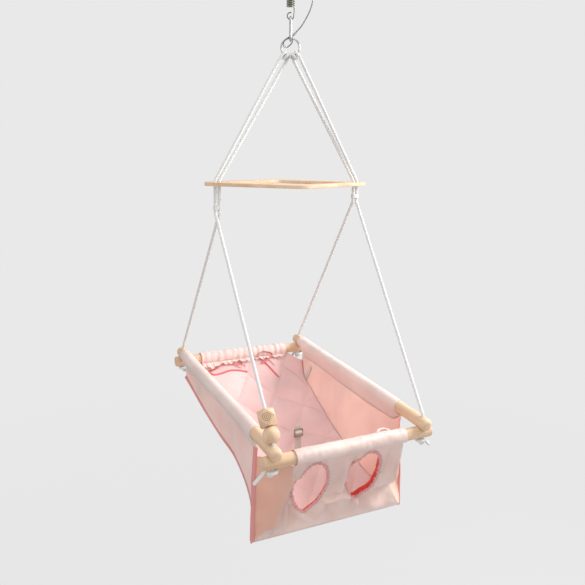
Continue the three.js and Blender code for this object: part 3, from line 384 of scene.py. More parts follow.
def webbing():
    # Ribs run across the strap, which is laid out along V in metres
    tape = Finish("grey webbing", colour(216, 206, 198), 0.85, {"Sheen Weight": 0.2})
    place = tape.place(source="UV")
    rib, yarn = tape.bands(place, threads["rib"], "Y"), tape.bands(place, threads["yarn"], "X")
    # Painted shade: the colour darkens between the ribs and yarns, where the bump dips
    tape.join("Base Color", tape.mix(rib * 0.6 + yarn * 0.2, colour(204, 194, 186), colour(236, 229, 222)))
    tape.bump(rib + yarn * 0.4, 0.0004)
    return tape


def braid():
    # Two sets of strands wind opposite ways; U goes once round the rope and V along it in metres
    cord = Finish("white braided rope", colour(243, 242, 238), 0.85, {"Sheen Weight": 0.2})
    u, v, _ = cord.parts(cord.place(source="UV"))
    across, along = u * (threads["ropeStrands"] * 2 * pi), v * (2 * pi / threads["ropeLay"])
    over = cord.maths("MAXIMUM", cord.maths("SINE", across + along), cord.maths("SINE", across - along))
    share = cord.clamp(over, -0.7, 0.6)
    # Painted shade: the colour darkens where the strands dip between each other and lightens on their crowns
    cord.join("Base Color", cord.mix(share, colour(230, 228, 224), colour(253, 253, 251)))
    cord.bump(over, 0.0004)
    return cord


def strand():
    cord = Finish("stranded steel cable", colour(150, 152, 152), 0.35, {"Metallic": 0.9})
    u, v, _ = cord.parts(cord.place(source="UV"))
    lay = cord.maths("SINE", u * (threads["cableStrands"] * 2 * pi) + v * (2 * pi / threads["cableLay"]))
    # Painted shade: dark grey in the grooves between the strands, light on their crowns
    cord.join("Base Color", cord.mix(cord.clamp(lay, -1, 0.2), colour(70, 70, 70), colour(176, 178, 178)))
    cord.bump(lay, 0.0004)
    return cord


def metal(name, base, roughness):
    finish = Finish(name, base, roughness, {"Metallic": 1.0})
    cloudy = finish.noise(finish.place(), 90, 3, 0.6)
    scratch = finish.noise(finish.place((40, 40, 900)), 1, 1)
    finish.join("Roughness", roughness + cloudy * 0.14 + scratch * 0.06 - 0.08)
    finish.join("Base Color", finish.mix(finish.clamp(cloudy, 0.4, 0.7), base, darker(base, 0.78)))
    finish.bump(cloudy * 0.4 + scratch * 0.3, 0.0002)
    return finish


def finishPiece(piece, finish, node=None, body="cradle"):
    material, usual = finishes[finish]
    piece.data.materials.clear()
    piece.data.materials.append(material)
    if body:
        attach(piece, body)
    if node:
        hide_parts(node)
    return piece


def shadeSmooth(data):
    data.polygons.foreach_set("use_smooth", [True] * len(data.polygons))


def meshPiece(name, vertices, faces, uvs=None):
    data = bpy.data.meshes.new(name)
    data.from_pydata([tuple(Vector(v) * mm) for v in vertices], [], faces)
    if uvs is not None:
        layer = data.uv_layers.new(name="UVMap")
        layer.data.foreach_set("uv", np.array(uvs, np.float32).ravel())
    shadeSmooth(data)
    data.update()
    return linked(name, data)


def lengths(points):  # how far along the route each point stands, in metres
    reach = [0.0]
    for a, b in zip(points, points[1:]):
        reach.append(reach[-1] + (b - a).length * mm)
    return reach


def woven(name, rows, across, down, ends=False, flip=False):
    # Quads over rows of points; a measure more than there are points or rows joins the last to the first
    count, total = len(rows[0]), len(rows)
    faces, spots = [], []
    for r in range(len(down) - 1):
        below = ((r + 1) % total) * count
        for k in range(len(across) - 1):
            turn = (k + 1) % count
            faces.append([r * count + k, r * count + turn, below + turn, below + k])
            spots.append([(across[k], down[r]), (across[k + 1], down[r]),
                          (across[k + 1], down[r + 1]), (across[k], down[r + 1])])
    if ends:
        last = (total - 1) * count
        faces += [list(range(count))[::-1], [last + k for k in range(count)]]
        spots += [[(u, 0) for u in across[:count]], [(u, down[-1]) for u in across[:count]]]
    if flip:
        faces, spots = ([each[::-1] for each in kind] for kind in (faces, spots))
    return meshPiece(name, [p for row in rows for p in row], faces, [uv for spot in spots for uv in spot])


def gridPiece(name, rows, around=False, along=False, ends=False, flip=False):
    # UV is the distance across and along, in metres
    sample, spine = rows[len(rows) // 2], [row[len(row) // 2] for row in rows]
    across = lengths(sample + sample[:1] if around else sample)
    return woven(name, rows, across, lengths(spine + spine[:1] if along else spine), ends, flip)


def surface(down, across, place):  # rows of points over the shares down and across
    return [[place(k, r) for k in shares(across)] for r in shares(down)]


def reshaped(piece, change):
    shape = bmesh.new()
    shape.from_mesh(piece.data)
    change(shape)
    shape.to_mesh(piece.data)
    shape.free()
    return piece


def facesOut(piece, limit=None):
    # Merges doubles, turns the faces outward and keeps edges sharper than the limit hard
    def change(shape):
        bmesh.ops.remove_doubles(shape, verts=shape.verts, dist=1e-6)
        bmesh.ops.recalc_face_normals(shape, faces=shape.faces)
        for edge in shape.edges:
            hard = limit and len(edge.link_faces) == 2 and edge.calc_face_angle(0) > radians(limit)
            edge.smooth = not hard
    return reshaped(piece, change)


def joined(piece, others):
    def change(shape):
        for other in others:
            shape.from_mesh(other.data)
            bpy.data.objects.remove(other)
    return reshaped(piece, change)


def applied(piece):
    # The evaluated shape as a plain mesh, with no modifier left
    data = bpy.data.meshes.new_from_object(piece.evaluated_get(bpy.context.evaluated_depsgraph_get()))
    name = piece.name
    bpy.data.objects.remove(piece)
    made = linked(name, data)
    data.name = name
    return made


def cutAway(piece, tools):
    for tool in tools:
        facesOut(tool)
        step = piece.modifiers.new("cut", "BOOLEAN")
        step.operation = "DIFFERENCE"
        step.solver = "EXACT"
        step.object = tool
    made = applied(piece)
    for tool in tools:
        bpy.data.objects.remove(tool)
    return made


def soften(piece, width):
    step = piece.modifiers.new("edges", "BEVEL")
    step.width = width * mm
    step.segments = 3
    return facesOut(applied(piece), 40)


def thicken(piece, wall):
    step = piece.modifiers.new("wall", "SOLIDIFY")
    step.thickness = wall * mm
    step.offset = 0
    step.use_even_offset = False
    return piece


# Routes: a smooth curve through given points, or corners rounded by arcs
def withEnds(points):  # a point more beyond each end
    return [2 * points[0] - points[1], *points, 2 * points[-1] - points[-2]]


def curveAt(knots, share):
    reach = share * (len(knots) - 3)
    index = min(int(reach), len(knots) - 4)
    return curvePoint(knots[index:index + 4], reach - index)


def curveThrough(points, count):
    knots = withEnds(points)
    return [curveAt(knots, share) for share in shares(count)]


def curvePoint(near, weight):
    steps = [max((near[k + 1] - near[k]).length, 1e-4) ** 0.5 for k in range(3)]
    a, b, c, d = near
    first = (b - a) / steps[0] - (c - a) / (steps[0] + steps[1]) + (c - b) / steps[1]
    second = (c - b) / steps[1] - (d - b) / (steps[1] + steps[2]) + (d - c) / steps[2]
    first, second = first * steps[1], second * steps[1]
    cubic = 2 * b - 2 * c + first + second
    square = -3 * b + 3 * c - 2 * first - second
    return b + weight * (first + weight * (square + weight * cubic))


def rounded(corners, step=pi / 16):
    points = [corners[0][0]]
    for index in range(1, len(corners) - 1):
        corner, bend = corners[index]
        inward = (corner - corners[index - 1][0]).normalized()
        onward = (corners[index + 1][0] - corner).normalized()
        turn = inward.angle(onward)
        if not bend or turn < 0.02:
            points.append(corner)
            continue
        reach = bend * tan(turn / 2)
        start, end = corner - inward * reach, corner + onward * reach
        centre = corner + (onward - inward).normalized() * (bend / cos(turn / 2))
        for share in shares(ceil(turn / step)):
            angle = turn * share
            arm = (start - centre) * sin(turn - angle) + (end - centre) * sin(angle)
            points.append(centre + arm / sin(turn))
    points.append(corners[-1][0])
    return points


def evenly(points, step):
    places = np.array([tuple(p) for p in points])
    reach = np.concatenate([[0], np.cumsum(np.linalg.norm(np.diff(places, axis=0), axis=1))])
    wanted = np.linspace(0, reach[-1], max(2, int(round(reach[-1] / step))) + 1)
    return [Vector(p) for p in zip(*(np.interp(wanted, reach, places[:, k]) for k in range(3)))]


tubeEnd = {"rim": 0.8, "rimOut": 0.36, "tip": 0.5, "tipOut": 0.2}


def tube(name, points, radius, sides=16, width=None, flatten=None):
    # Rings carried along the route, with rounded ends; U is the share round and V the length in metres
    rows = []
    wide = width or radius
    normal = flatten
    for index, here in enumerate(points):
        way = (points[min(index + 1, len(points) - 1)] - points[max(index - 1, 0)]).normalized()
        if normal is None:
            normal = way.orthogonal().normalized()
        normal = (normal - way * normal.dot(way)).normalized()
        other = way.cross(normal)
        rows.append([here + other * wide * cos(a) + normal * radius * sin(a) for a in circle(sides)])
    for end, inner in ((0, 1), (-1, -2)):
        out = (points[end] - points[inner]).normalized() * radius
        rim = [points[end] + (p - points[end]) * tubeEnd["rim"] + out * tubeEnd["rimOut"] for p in rows[end]]
        centre = sum(rim, Vector()) / sides
        tip = [centre + (p - centre) * tubeEnd["tip"] + out * tubeEnd["tipOut"] for p in rim]
        rows = [*rows, rim, tip] if end else [tip, rim, *rows]
    made = woven(name, rows, shares(sides), lengths([sum(row, Vector()) / sides for row in rows]), ends=True)
    return reshaped(made, lambda shape: bmesh.ops.recalc_face_normals(shape, faces=shape.faces))


def cordOf(route, every=1):
    path = route if every == 1 else route[::every] + [route[-1]]
    lengths(route)[-1]
    [p * mm for p in path]


# Geometry Nodes trees, each with named inputs
class Tree(Nodes):
    def __init__(self, name, sizes):
        group = bpy.data.node_groups.new(name, "GeometryNodeTree")
        super().__init__(group)
        group.interface.new_socket("Geometry", in_out="INPUT", socket_type="NodeSocketGeometry")
        group.interface.new_socket("Geometry", in_out="OUTPUT", socket_type="NodeSocketGeometry")
        for label in sizes:
            kind = "NodeSocketInt" if label == "Sides" else "NodeSocketFloat"
            group.interface.new_socket(label, in_out="INPUT", socket_type=kind)
        group.interface.new_socket("Material", in_out="INPUT", socket_type="NodeSocketMaterial")
        self.source = self.node("NodeGroupInput")
        self.result = self.node("NodeGroupOutput")

    def given(self, label):
        return Value(self, self.source.outputs[label])

    def made(self, kind, settings=None, inputs=None):
        return self.value(self.node(kind, settings, inputs))

    def spots(self, spacing):  # points along the curve that the tree is given
        return self.made("GeometryNodeResampleCurve", {"mode": "LENGTH"}, {
            "Curve": self.given("Geometry"), "Length": self.given(spacing),
        })

    def end(self, geometry):
        smooth = self.made("GeometryNodeSetShadeSmooth", None, {0: geometry})
        solid = self.made("GeometryNodeRealizeInstances", None, {0: smooth})
        painted = self.made("GeometryNodeSetMaterial", None, {0: solid, "Material": self.given("Material")})
        self.tree.links.new(painted.socket, self.result.inputs[0])
        return self


def roundWireTree():
    tree = Tree("round wire", ("Radius", "Sides", "Step"))
    profile = tree.made("GeometryNodeCurvePrimitiveCircle", None, {
        "Resolution": tree.given("Sides"), "Radius": tree.given("Radius"),
    })
    return tree.end(tree.made("GeometryNodeCurveToMesh", None, {
        "Curve": tree.spots("Step"), "Profile Curve": profile, "Fill Caps": True,
    }))


def stitchTree():
    # Short threads laid along a seam, each turned to follow it
    tree = Tree("row of stitches", ("Pitch", "Length", "Thickness"))
    thread = tree.made("GeometryNodeMeshIcoSphere", None, {"Radius": 0.5, "Subdivisions": 2})
    size = tree.made("ShaderNodeCombineXYZ", None, {
        0: tree.given("Length"), 1: tree.given("Thickness"), 2: tree.given("Thickness"),
    })
    shaped = tree.made("GeometryNodeTransform", None, {"Geometry": thread, "Scale": size})
    facing = tree.made("FunctionNodeAlignRotationToVector", {"axis": "X"}, {
        "Vector": tree.made("GeometryNodeInputTangent"),
    })
    return tree.end(tree.made("GeometryNodeInstanceOnPoints", None, {
        "Points": tree.spots("Pitch"), "Instance": shaped, "Rotation": facing,
    }))


roundWire = roundWireTree()
stitchRow = stitchTree()


def curvePiece(name, routes, loop, kind="3D"):
    data = bpy.data.curves.new(name, "CURVE")
    data.dimensions = kind
    for points in routes:
        line = data.splines.new("POLY")
        line.points.add(len(points) - 1)
        for spot, place in zip(line.points, points):
            spot.co = (*(place * mm), 1)
        line.use_cyclic_u = loop
    return linked(name, data)


def grown(name, routes, tree, finish, sizes, loop):
    made = curvePiece(name, routes, loop)
    step = made.modifiers.new("grow", "NODES")
    step.node_group = tree.tree
    labels = {item.name: item.identifier for item in tree.tree.interface.items_tree if item.in_out == "INPUT"}
    for label, value in sizes.items():
        step[labels[label]] = value
    step[labels["Material"]] = finishes[finish][0]
    return applied(made)


def wire(name, points, radius, finish, sides=16, step=0.6, loop=False):
    sizes = {"Radius": radius * mm, "Sides": sides, "Step": step * mm}
    return facesOut(grown(name, [points], roundWire, finish, sizes, loop))


# Pitch, length and thickness of the stitches, in millimetres
seamKinds = {
    "hem": (4.0, 2.8, 0.6), "edge": (3.6, 2.4, 0.6), "quilt": (4.4, 3.1, 0.7), "ruffle": (4.2, 3.0, 0.75),
}


def stitches(name, routes, finish, kind, loop=False):
    sizes = {label: size * mm for label, size in zip(("Pitch", "Length", "Thickness"), seamKinds[kind])}
    finishPiece(grown(name, routes, stitchRow, finish, sizes, loop), finish)


# Ropes: from the front knot over the spreader, round the ring and back down to the back knot
rope = {
    "diameter": 8, "pitch": 10.2, "gap": 0.7, "bend": 10, "splitBend": 15, "slotBend": 12, "slotLift": 3,
    "ringBend": 30, "ringLead": 6, "innerTurn": 0.28, "outerTurn": 0.84, "lift": 6, "clearance": 0.35,
    "leftSplit": 378, "rightSplit": 353, "knotLead": 4.6, "knotRise": 3, "knotTurn": radians(270),
    "knotGap": 0.5, "tailRun": 8, "tailBend": 9, "step": 1.4, "sides": 16,
}
# Front and back tail of each rope: heading, reach and drop
tails = {"left": ((pi, 30, 30), (0, 12, 14)), "right": ((0, 10, 12), (pi, 12, 14))}
spreader = {
    "drop": 302, "halfLength": cornerX + 31, "halfWidth": 88, "tipRadius": 12, "sideRadius": 60,
    "openLength": cornerX - 36, "openWidth": 62, "openTip": 8, "openSide": 30, "thickness": 9, "edge": 1.4,
    "tilt": 0.08, "slotWidth": 11.6, "slotMargin": 1.9, "slotShift": -0.4,
}
spreaderLevel = ringLevel - spreader["drop"]


def ringTurns(side):
    # One and a half turns round the ring's wire, which drift aside so that they clear each other
    wrap = ring["wire"] / 2 + rope["diameter"] / 2 + rope["clearance"]
    full = 3 * pi

    def spot(turn, lead):
        share = min(max((turn - pi / 2) / (2 * pi), 0), 1)
        swing = lerp(rope["outerTurn"], rope["innerTurn"], share)
        reach = ringRadius - wrap * sin(turn) + lead
        return inHardware(side * reach * sin(swing), -wrap * cos(turn), ringMiddle - reach * cos(swing))

    turns = [(spot(full * share, 0), 0) for share in shares(48)]
    start, end = ((spot(turn, rope["ringLead"]), rope["ringBend"]) for turn in (0, full))
    return [start, *turns, end]


def stopperKnot(x, v, tail):
    heading, tailReach, tailDrop = tail
    radius = rope["diameter"] / 2
    pitch = rope["diameter"] + rope["gap"]
    coil = hypot(pitch, rope["knotLead"])
    endLevel = crossLevel - dowelRadius - rope["knotGap"] - radius
    startLevel = endLevel - rope["knotRise"]
    footLevel = startLevel - pitch / 2 - rope["knotLead"]

    def spot(along, across, w):
        c, s = cos(heading), sin(heading)
        return inFrame(x + along * c - across * s, v + along * s + across * c, w)

    corners = [(spot(0, 0, footLevel), pitch / 2), (spot(pitch, 0, footLevel), pitch / 2),
               (spot(pitch, 0, startLevel), rope["knotLead"])]
    for share in shares(24):
        angle = lerp(atan2(rope["knotLead"], pitch), rope["knotTurn"], share)
        corners.append((spot(coil * cos(angle), coil * sin(angle), lerp(startLevel, endLevel, share)), 0))
    corners.append((spot(rope["tailRun"], -coil, endLevel), rope["tailBend"]))
    corners.append((spot(rope["tailRun"] + tailReach, -coil, endLevel - tailDrop), 0))
    return corners


def legRoute(side, end, split, tail):
    # From the spreader's slot down to the knot under the dowels
    x = side * (cornerX - end * rope["pitch"] / 2)
    return [
        (Vector((x, 0, spreaderLevel + rope["slotLift"])), rope["slotBend"]),
        (Vector((x, 0, ringLevel - split)), rope["splitBend"]),
        (inFrame(side * cornerX, end * cornerV, rope["lift"]), rope["bend"]),
        *stopperKnot(side * cornerX, end * cornerV, tail),
    ]


def makeRopes():
    for word, side in bothSides:
        forward, rear = (legRoute(side, end, rope[word + "Split"], tail)
                         for end, tail in zip((-1, 1), tails[word]))
        route = evenly(rounded(forward[::-1] + ringTurns(side) + rear), rope["step"])
        piece = tube(word + "_rope_braid", route, rope["diameter"] / 2, rope["sides"])
        finishPiece(piece, "rope", word + "_rope")
        cordOf(route, 4)
        print(word + "_rope is", round(lengths(route)[-1], 3), "m long")


whipping = {"height": 12, "turns": 8, "twine": 1.5, "steps": 40}


def oval(half, radius, angle, squareness=3):  # how far aside a point of a flattened round section stands
    return half * max(-1, min(1, cos(angle) * squareness)) + radius * cos(angle)


def makeWhippings():
    twine, steps = whipping["twine"], whipping["steps"]
    reach = rope["diameter"] / 2 + gap + twine / 2
    for word, side in bothSides:
        base = ringLevel - rope[word + "Split"] + rope["splitBend"] / 2
        route = []
        for k in range(whipping["turns"] * steps + 1):
            angle = 2 * pi * k / steps
            rise = (whipping["height"] - twine) * k / steps / whipping["turns"]
            route.append(Vector((side * cornerX + oval(rope["pitch"] / 2, reach, angle), reach * sin(angle),
                                 base + twine / 2 + rise)))
        piece = wire(word + "_whipping_twine", route, twine / 2, "twine", 8, 0.8)
        finishPiece(piece, "twine", word + "_whipping")


# Wood
axisGap = 0.01  # a turned end closes so near its axis


def lathe(name, profile, sides=64):
    rows = [[Vector((r * cos(a), h, r * sin(a))) for a in circle(sides)] for r, h in profile]
    return gridPiece(name, rows, around=True, ends=True)


def movedTo(piece, matrix):
    shift = matrix.copy()
    shift.translation = shift.translation * mm
    piece.data.transform(shift)
    return piece


def rodAt(name, radius, length, matrix, sides=64):
    return movedTo(lathe(name, [(radius, -length / 2), (radius, length / 2)], sides), matrix)


def boxPiece(name, size, matrix):
    corners = [Vector((x * size[0] / 2, y * size[1] / 2, z * size[2] / 2))
               for z in (-1, 1) for y in (-1, 1) for x in (-1, 1)]
    faces = [(0, 2, 3, 1), (4, 5, 7, 6), (0, 1, 5, 4), (2, 6, 7, 3), (0, 4, 6, 2), (1, 3, 7, 5)]
    made = meshPiece(name, corners, faces)
    made.data.polygons.foreach_set("use_smooth", [False] * len(faces))
    return movedTo(made, matrix)


frameTurn = turned(cradle["tilt"], "X")
dowelEnds = {"side": 10, "cross": 3, "steps": 8, "bore": 9, "cut": 40}


def dowelProfile(length, endRound):
    profile = [(axisGap, -length / 2)]
    for end in (-1, 1):
        for share in shares(dowelEnds["steps"])[::-end]:
            angle = pi / 2 * share
            radius = dowelRadius - endRound * (1 - sin(angle))
            profile.append((radius, end * (length / 2 - endRound * (1 - cos(angle)))))
    profile.append((axisGap, length / 2))
    return profile


def makeDowels():
    upright, across = turned(pi / 2, "X"), turned(-pi / 2, "Z")
    for word, side, end in (("left", -1, 0), ("right", 1, 0), ("front", 0, -1), ("back", 0, 1)):
        level, lay, kind, finish = ((sideLevel, Matrix(), "side", "beechAlong") if side
                                    else (crossLevel, across, "cross", "beechAcross"))
        length = cradle["length" if side else "width"] + 2 * cradle["overhang"]
        rod = lathe(word + "_dowel_turned", dowelProfile(length, dowelEnds[kind]))
        movedTo(facesOut(rod), placed(inFrame(side * cornerX, end * cornerV, level), frameTurn @ lay))
        tools = []
        for other in (-1, 1):
            x, v = (side or other) * cornerX, (end or other) * cornerV
            bore = placed(inFrame(x, v, level), frameTurn @ upright)
            tools.append(rodAt("bore", dowelEnds["bore"] / 2, dowelEnds["cut"], bore, 32))
            if side:  # the side dowels are notched for the ones below
                saddle = placed(inFrame(x, v, crossLevel), frameTurn @ across)
                tools.append(rodAt("saddle", dowelRadius + gap, dowelEnds["cut"], saddle))
        finishPiece(facesOut(cutAway(rod, tools), 40), finish, word + "_dowel")


def arc(x, y, radius, start, stop, steps):
    return [Vector((x + radius * cos(a), y + radius * sin(a), 0))
            for a in (lerp(start, stop, share) for share in shares(steps))]


def rhombus(halfLength, halfWidth, tipRadius, sideRadius):
    tip, flank = halfLength - tipRadius, halfWidth - sideRadius
    edge = acos((sideRadius - tipRadius) / hypot(tip, flank)) - atan2(flank, tip)
    return [point for corner in (
        (tip, 0, tipRadius, -edge, edge), (0, flank, sideRadius, edge, pi - edge),
        (-tip, 0, tipRadius, pi - edge, pi + edge), (0, -flank, sideRadius, pi + edge, 2 * pi - edge),
    ) for point in arc(*corner, 16)]


def slotOutline(x):
    half = (rope["pitch"] + rope["diameter"]) / 2 + spreader["slotMargin"] - spreader["slotWidth"] / 2
    # The curve's bevel narrows an opening by the edge
    radius = spreader["slotWidth"] / 2 + spreader["edge"]
    return [point for side, start in ((1, -pi / 2), (-1, pi / 2))
            for point in arc(x + side * half, spreader["slotShift"], radius, start, start + pi, 12)]


def makeSpreader():
    edge, thick = spreader["edge"], spreader["thickness"]
    board = curvePiece("spreader_board", [
        rhombus(*(spreader[k] - edge for k in ("halfLength", "halfWidth", "tipRadius", "sideRadius"))),
        rhombus(*(spreader[k] + edge for k in ("openLength", "openWidth", "openTip", "openSide"))),
        slotOutline(-cornerX), slotOutline(cornerX),
    ], True, "2D")
    board.data.fill_mode = "BOTH"
    board.data.extrude = (thick / 2 - edge) * mm
    board.data.bevel_depth = edge * mm
    board.data.bevel_resolution = 3
    turn = turned(spreader["tilt"], "X")
    place = placed(raised(spreaderLevel) + turn @ raised(-thick / 2), turn)
    finishPiece(movedTo(facesOut(applied(board), 35), place), "plywood", "spreader", "spreader")


bead = {
    "ball": 38, "facet": 38, "bore": 9, "mouth": 14, "chamfer": 3.6, "edge": 1.3, "sides": 48, "steps": 40,
}
burnt = {
    "dot": 0.8, "rings": (4.0, 8.4), "line": 0.5, "skin": 0.25, "share": 0.85, "tint": colour(96, 62, 40),
}


def makeBeads():
    # Both beads stand on the front left dowels, threaded on the rope's front leg
    radius, mouth, bore = bead["ball"] / 2, bead["mouth"] / 2, bead["bore"] / 2
    cap = sqrt(radius ** 2 - mouth ** 2)
    foot = inFrame(-cornerX, -cornerV, rope["lift"])
    along = (Vector((-cornerX - rope["pitch"] / 2, 0, ringLevel - rope["leftSplit"])) - foot).normalized()
    steepness = along.dot(inFrame(0, 0, 1) - inFrame(0, 0, 0))
    ball = foot + along * ((radius + gap - rope["lift"]) / steepness)
    upright = raised(1).rotation_difference(along).to_matrix().to_4x4()
    makeBall(radius, mouth, bore, cap, placed(ball, upright))
    makeFacetBead(bore, ball + along * (cap + gap + bead["facet"] / 2), upright)


def makeBall(radius, mouth, bore, cap, place):
    openAngle = acos(cap / radius)
    angles = [lerp(openAngle, pi - openAngle, share) for share in shares(bead["steps"])]
    dip = [bead["chamfer"] * sin(pi / 2 * share) for share in shares(6)]
    profile = [(radius * sin(a), -radius * cos(a)) for a in angles]
    profile += [(lerp(mouth, bore, k / 6), cap - dip[k]) for k in range(1, 7)]
    profile += [(lerp(bore, mouth, k / 6), -cap + dip[6 - k]) for k in range(6)]
    rows = [[Vector((r * cos(a), r * sin(a), h)) for a in circle(bead["sides"])] for r, h in profile]
    sphere = facesOut(gridPiece("ball_bead_turned", rows, around=True, along=True), 50)
    finishPiece(movedTo(sphere, place), "beechUpright", "ball_bead", "ball_bead")


def makeFacetBead(bore, middle, upright):
    # The hull over a square in each plane, its edges rounded
    half = bead["facet"] / 2
    shape = bmesh.new()
    for a in (-half, half):
        for b in (-half, half):
            for corner in ((a, b, 0), (a, 0, b), (0, a, b)):
                shape.verts.new(Vector(corner) * mm)
    bmesh.ops.convex_hull(shape, input=shape.verts)
    bmesh.ops.dissolve_limit(shape, angle_limit=0.02, verts=shape.verts, edges=shape.edges)
    bmesh.ops.bevel(shape, geom=shape.edges, offset=bead["edge"] * mm, segments=4, profile=0.5,
                    affect="EDGES")
    data = bpy.data.meshes.new("facet_bead_cut")
    shape.to_mesh(data)
    shape.free()
    shadeSmooth(data)
    turn = turned(hardwareTurn, "Z")
    block = movedTo(linked("facet_bead_cut", data), turn)
    block = facesOut(cutAway(block, [rodAt("bore", bore, 60, turned(pi / 2, "X"), 32)]), 28)
    finishes["burntBeech"] = burntBeech(middle, upright @ turn).material, "beech"
    finishPiece(movedTo(block, placed(middle, upright)), "burntBeech", "facet_bead", "facet_bead")


def burntBeech(centre, turn):
    # The bead's faces carry a plain burnt motif of rings round a dot
    wood = beech("burnt beech", (0, 0, 0), 2)
    shifted = wood.value(wood.node("ShaderNodeVectorMath", {"operation": "SUBTRACT"}, {
        0: wood.value(wood.coordinates, "Object"), 1: tuple(centre * mm),
    }))
    x, y, z = wood.parts(wood.value(wood.node("ShaderNodeMapping", None, {
        "Vector": shifted, "Rotation": tuple(turn.to_3x3().inverted().to_euler()),
    })))
    farX, farY = wood.maths("ABSOLUTE", x), wood.maths("ABSOLUTE", y)
    onX = wood.maths("GREATER_THAN", farX, farY)
    span = y * onX + x * (1 - onX)
    reach = wood.maths("SQRT", span * span + z * z)
    outermost = wood.maths("MAXIMUM", farX, farY)
    face = wood.maths("GREATER_THAN", outermost, (bead["facet"] / 2 - burnt["skin"]) * mm)
    drawn = wood.maths("LESS_THAN", reach, burnt["dot"] * mm)
    for radius in burnt["rings"]:
        off = wood.maths("ABSOLUTE", reach - radius * mm)
        drawn = drawn + wood.maths("LESS_THAN", off, burnt["line"] * mm)
    drawn = wood.maths("MINIMUM", drawn * face, 1)
    plain = Value(wood, wood.shader.inputs["Base Color"].links[0].from_socket)
    wood.join("Base Color", wood.mix(drawn * burnt["share"], plain, burnt["tint"]))
    return wood


# Steelwork under the ceiling
def hardwareRoute(*corners):  # each corner with its bend
    return rounded([(inHardware(*place), bend) for place, bend in corners])


def makePlate():
    radius, thick, edge = steel["plate"] / 2, steel["plateThickness"], steel["plateEdge"]
    lay = turned(-pi / 2, "X")
    half, reach = thick / 2, steel["holeCircle"] / 2
    profile = [(axisGap, -half), (radius - edge, -half), (radius, edge - half), (radius, half),
               (axisGap, half)]
    plate = movedTo(facesOut(lathe("ceiling_plate_pressed", profile)), placed(raised(-half), lay))
    places = [placed(inHardware(reach * cos(a), reach * sin(a), 0), lay) for a in circle(3)]
    tools = [rodAt("hole", steel["plateHole"] / 2, 20, place, 32) for place in places]
    finishPiece(facesOut(cutAway(plate, tools), 30), "zinc", "ceiling_plate", "ceiling")


def makeEye():
    top, bend = -steel["plateThickness"] - gap, steel["eyeBend"]
    route = hardwareRoute(((0, -bend, top), 0), ((0, -bend, eyeLevel), bend), ((0, bend, eyeLevel), bend),
                          ((0, bend, top), 0))
    eye = wire("ceiling_eye_bent", route, steel["eyeWire"] / 2, "zinc")
    finishPiece(eye, "zinc", "ceiling_eye", "ceiling")


def springLoop(name, middle, coilEnd, body):
    up, radius = copysign(1, middle - coilEnd), steel["loopRadius"]
    points = [inHardware(coilRadius, 0, coilEnd + up * reach) for reach in (gap, steel["neck"])]
    for share in shares(40):
        angle = steel["loopTurn"] * share
        points.append(inHardware(radius * cos(angle), 0, middle + up * radius * sin(angle)))
    piece = wire(name + "_wound", points, steel["springWire"] / 2, "springSteel", 14, 0.5)
    finishPiece(piece, "springSteel", name, body)


def makeSpring():
    springLoop("spring_upper_loop", upperLoop, coilTop, "spring")
    springLoop("spring_lower_loop", lowerLoop, coilBottom, "spring_foot")
    bend, steps, blend = steel["springWire"], 32, 6
    lead = 2 * bend  # the wire's straight way out of the coil, with its bend
    pitch = (steel["springLength"] - 2 * lead) / steel["curls"]
    curl = [inHardware(coilRadius * cos(2 * pi * k / steps), coilRadius * sin(2 * pi * k / steps),
                       coilTop - lead - pitch * k / steps) for k in range(steel["curls"] * steps + 1)]
    top, first, last, bottom = (inHardware(coilRadius, 0, level)
                                for level in (coilTop, coilTop - lead, coilBottom + lead, coilBottom))
    upper = rounded([(top, 0), (first, bend), (curl[blend], 0)])
    lower = rounded([(curl[-blend - 1], 0), (last, bend), (bottom, 0)])
    route = upper[:-1] + curl[blend:-blend] + lower[1:]
    coil = wire("spring_coil_wound", route, steel["springWire"] / 2, "springSteel", 12, 1.6)
    finishPiece(coil, "springSteel", "spring_coil", None)
    coilTop * mm
    coilBottom * mm
    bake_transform(coil)


def makeHook():
    s = steel
    nose, foot = gateTop + s["gateMouth"], pinLevel - s["lugHeight"]
    route = hardwareRoute(
        ((0, -hookRadius, nose), 0),
        ((0, -hookRadius, hookTop), hookRadius), ((0, hookRadius, hookTop), hookRadius),
        ((0, hookRadius, hookBottom), hookRadius), ((0, -hookRadius, hookBottom), hookRadius),
        ((0, -hookRadius, foot), 0),
    )
    hook = wire("snap_hook_forged", route, s["hookWire"] / 2, "zinc")
    turn, overlap = turned(hardwareTurn, "Z"), 2
    centre = inHardware(0, -hookRadius, pinLevel)
    pinPlace = placed(centre, turn @ turned(pi / 2, "Z"))
    lug = facesOut(rodAt("snap_hook_lug", s["lugRadius"], s["lug"], pinPlace, 32), 40)
    stemHeight = s["lugHeight"] + overlap
    stem = boxPiece("snap_hook_stem", (s["lug"], 2 * s["lugRadius"], stemHeight),
                    placed(centre - raised(stemHeight / 2), turn))
    finishPiece(joined(hook, [lug, stem]), "zinc", "snap_hook_body", "snap_hook")
    bottom = pinLevel - s["gateHeel"]
    bar = rodAt("snap_hook_gate_sprung", s["hookWire"] / 2, gateTop - bottom,
                placed(inHardware(0, -hookRadius, (gateTop + bottom) / 2), turned(pi / 2, "X")), 32)
    slotLevel = pinLevel + (s["gateSlotDepth"] - s["gateHeel"] - overlap) / 2
    slot = boxPiece("slot", (s["gateSlot"], 2 * s["hookWire"], s["gateSlotDepth"] + s["gateHeel"] + overlap),
                    placed(inHardware(0, -hookRadius, slotLevel), turn))
    finishPiece(facesOut(cutAway(facesOut(bar), [slot]), 40), "zinc", "snap_hook_gate", "gate")
    pin = facesOut(rodAt("gate_pin_riveted", s["pin"] / 2, s["hookWire"] - gap, pinPlace, 24), 40)
    finishPiece(pin, "springSteel", "gate_pin", "snap_hook")
    hoop = [inHardware(ringRadius * sin(a), 0, ringMiddle - ringRadius * cos(a)) for a in circle(120)]
    finishPiece(wire("ring_welded", hoop, ring["wire"] / 2, "zinc", 20, 1.2, loop=True), "zinc", "ring")


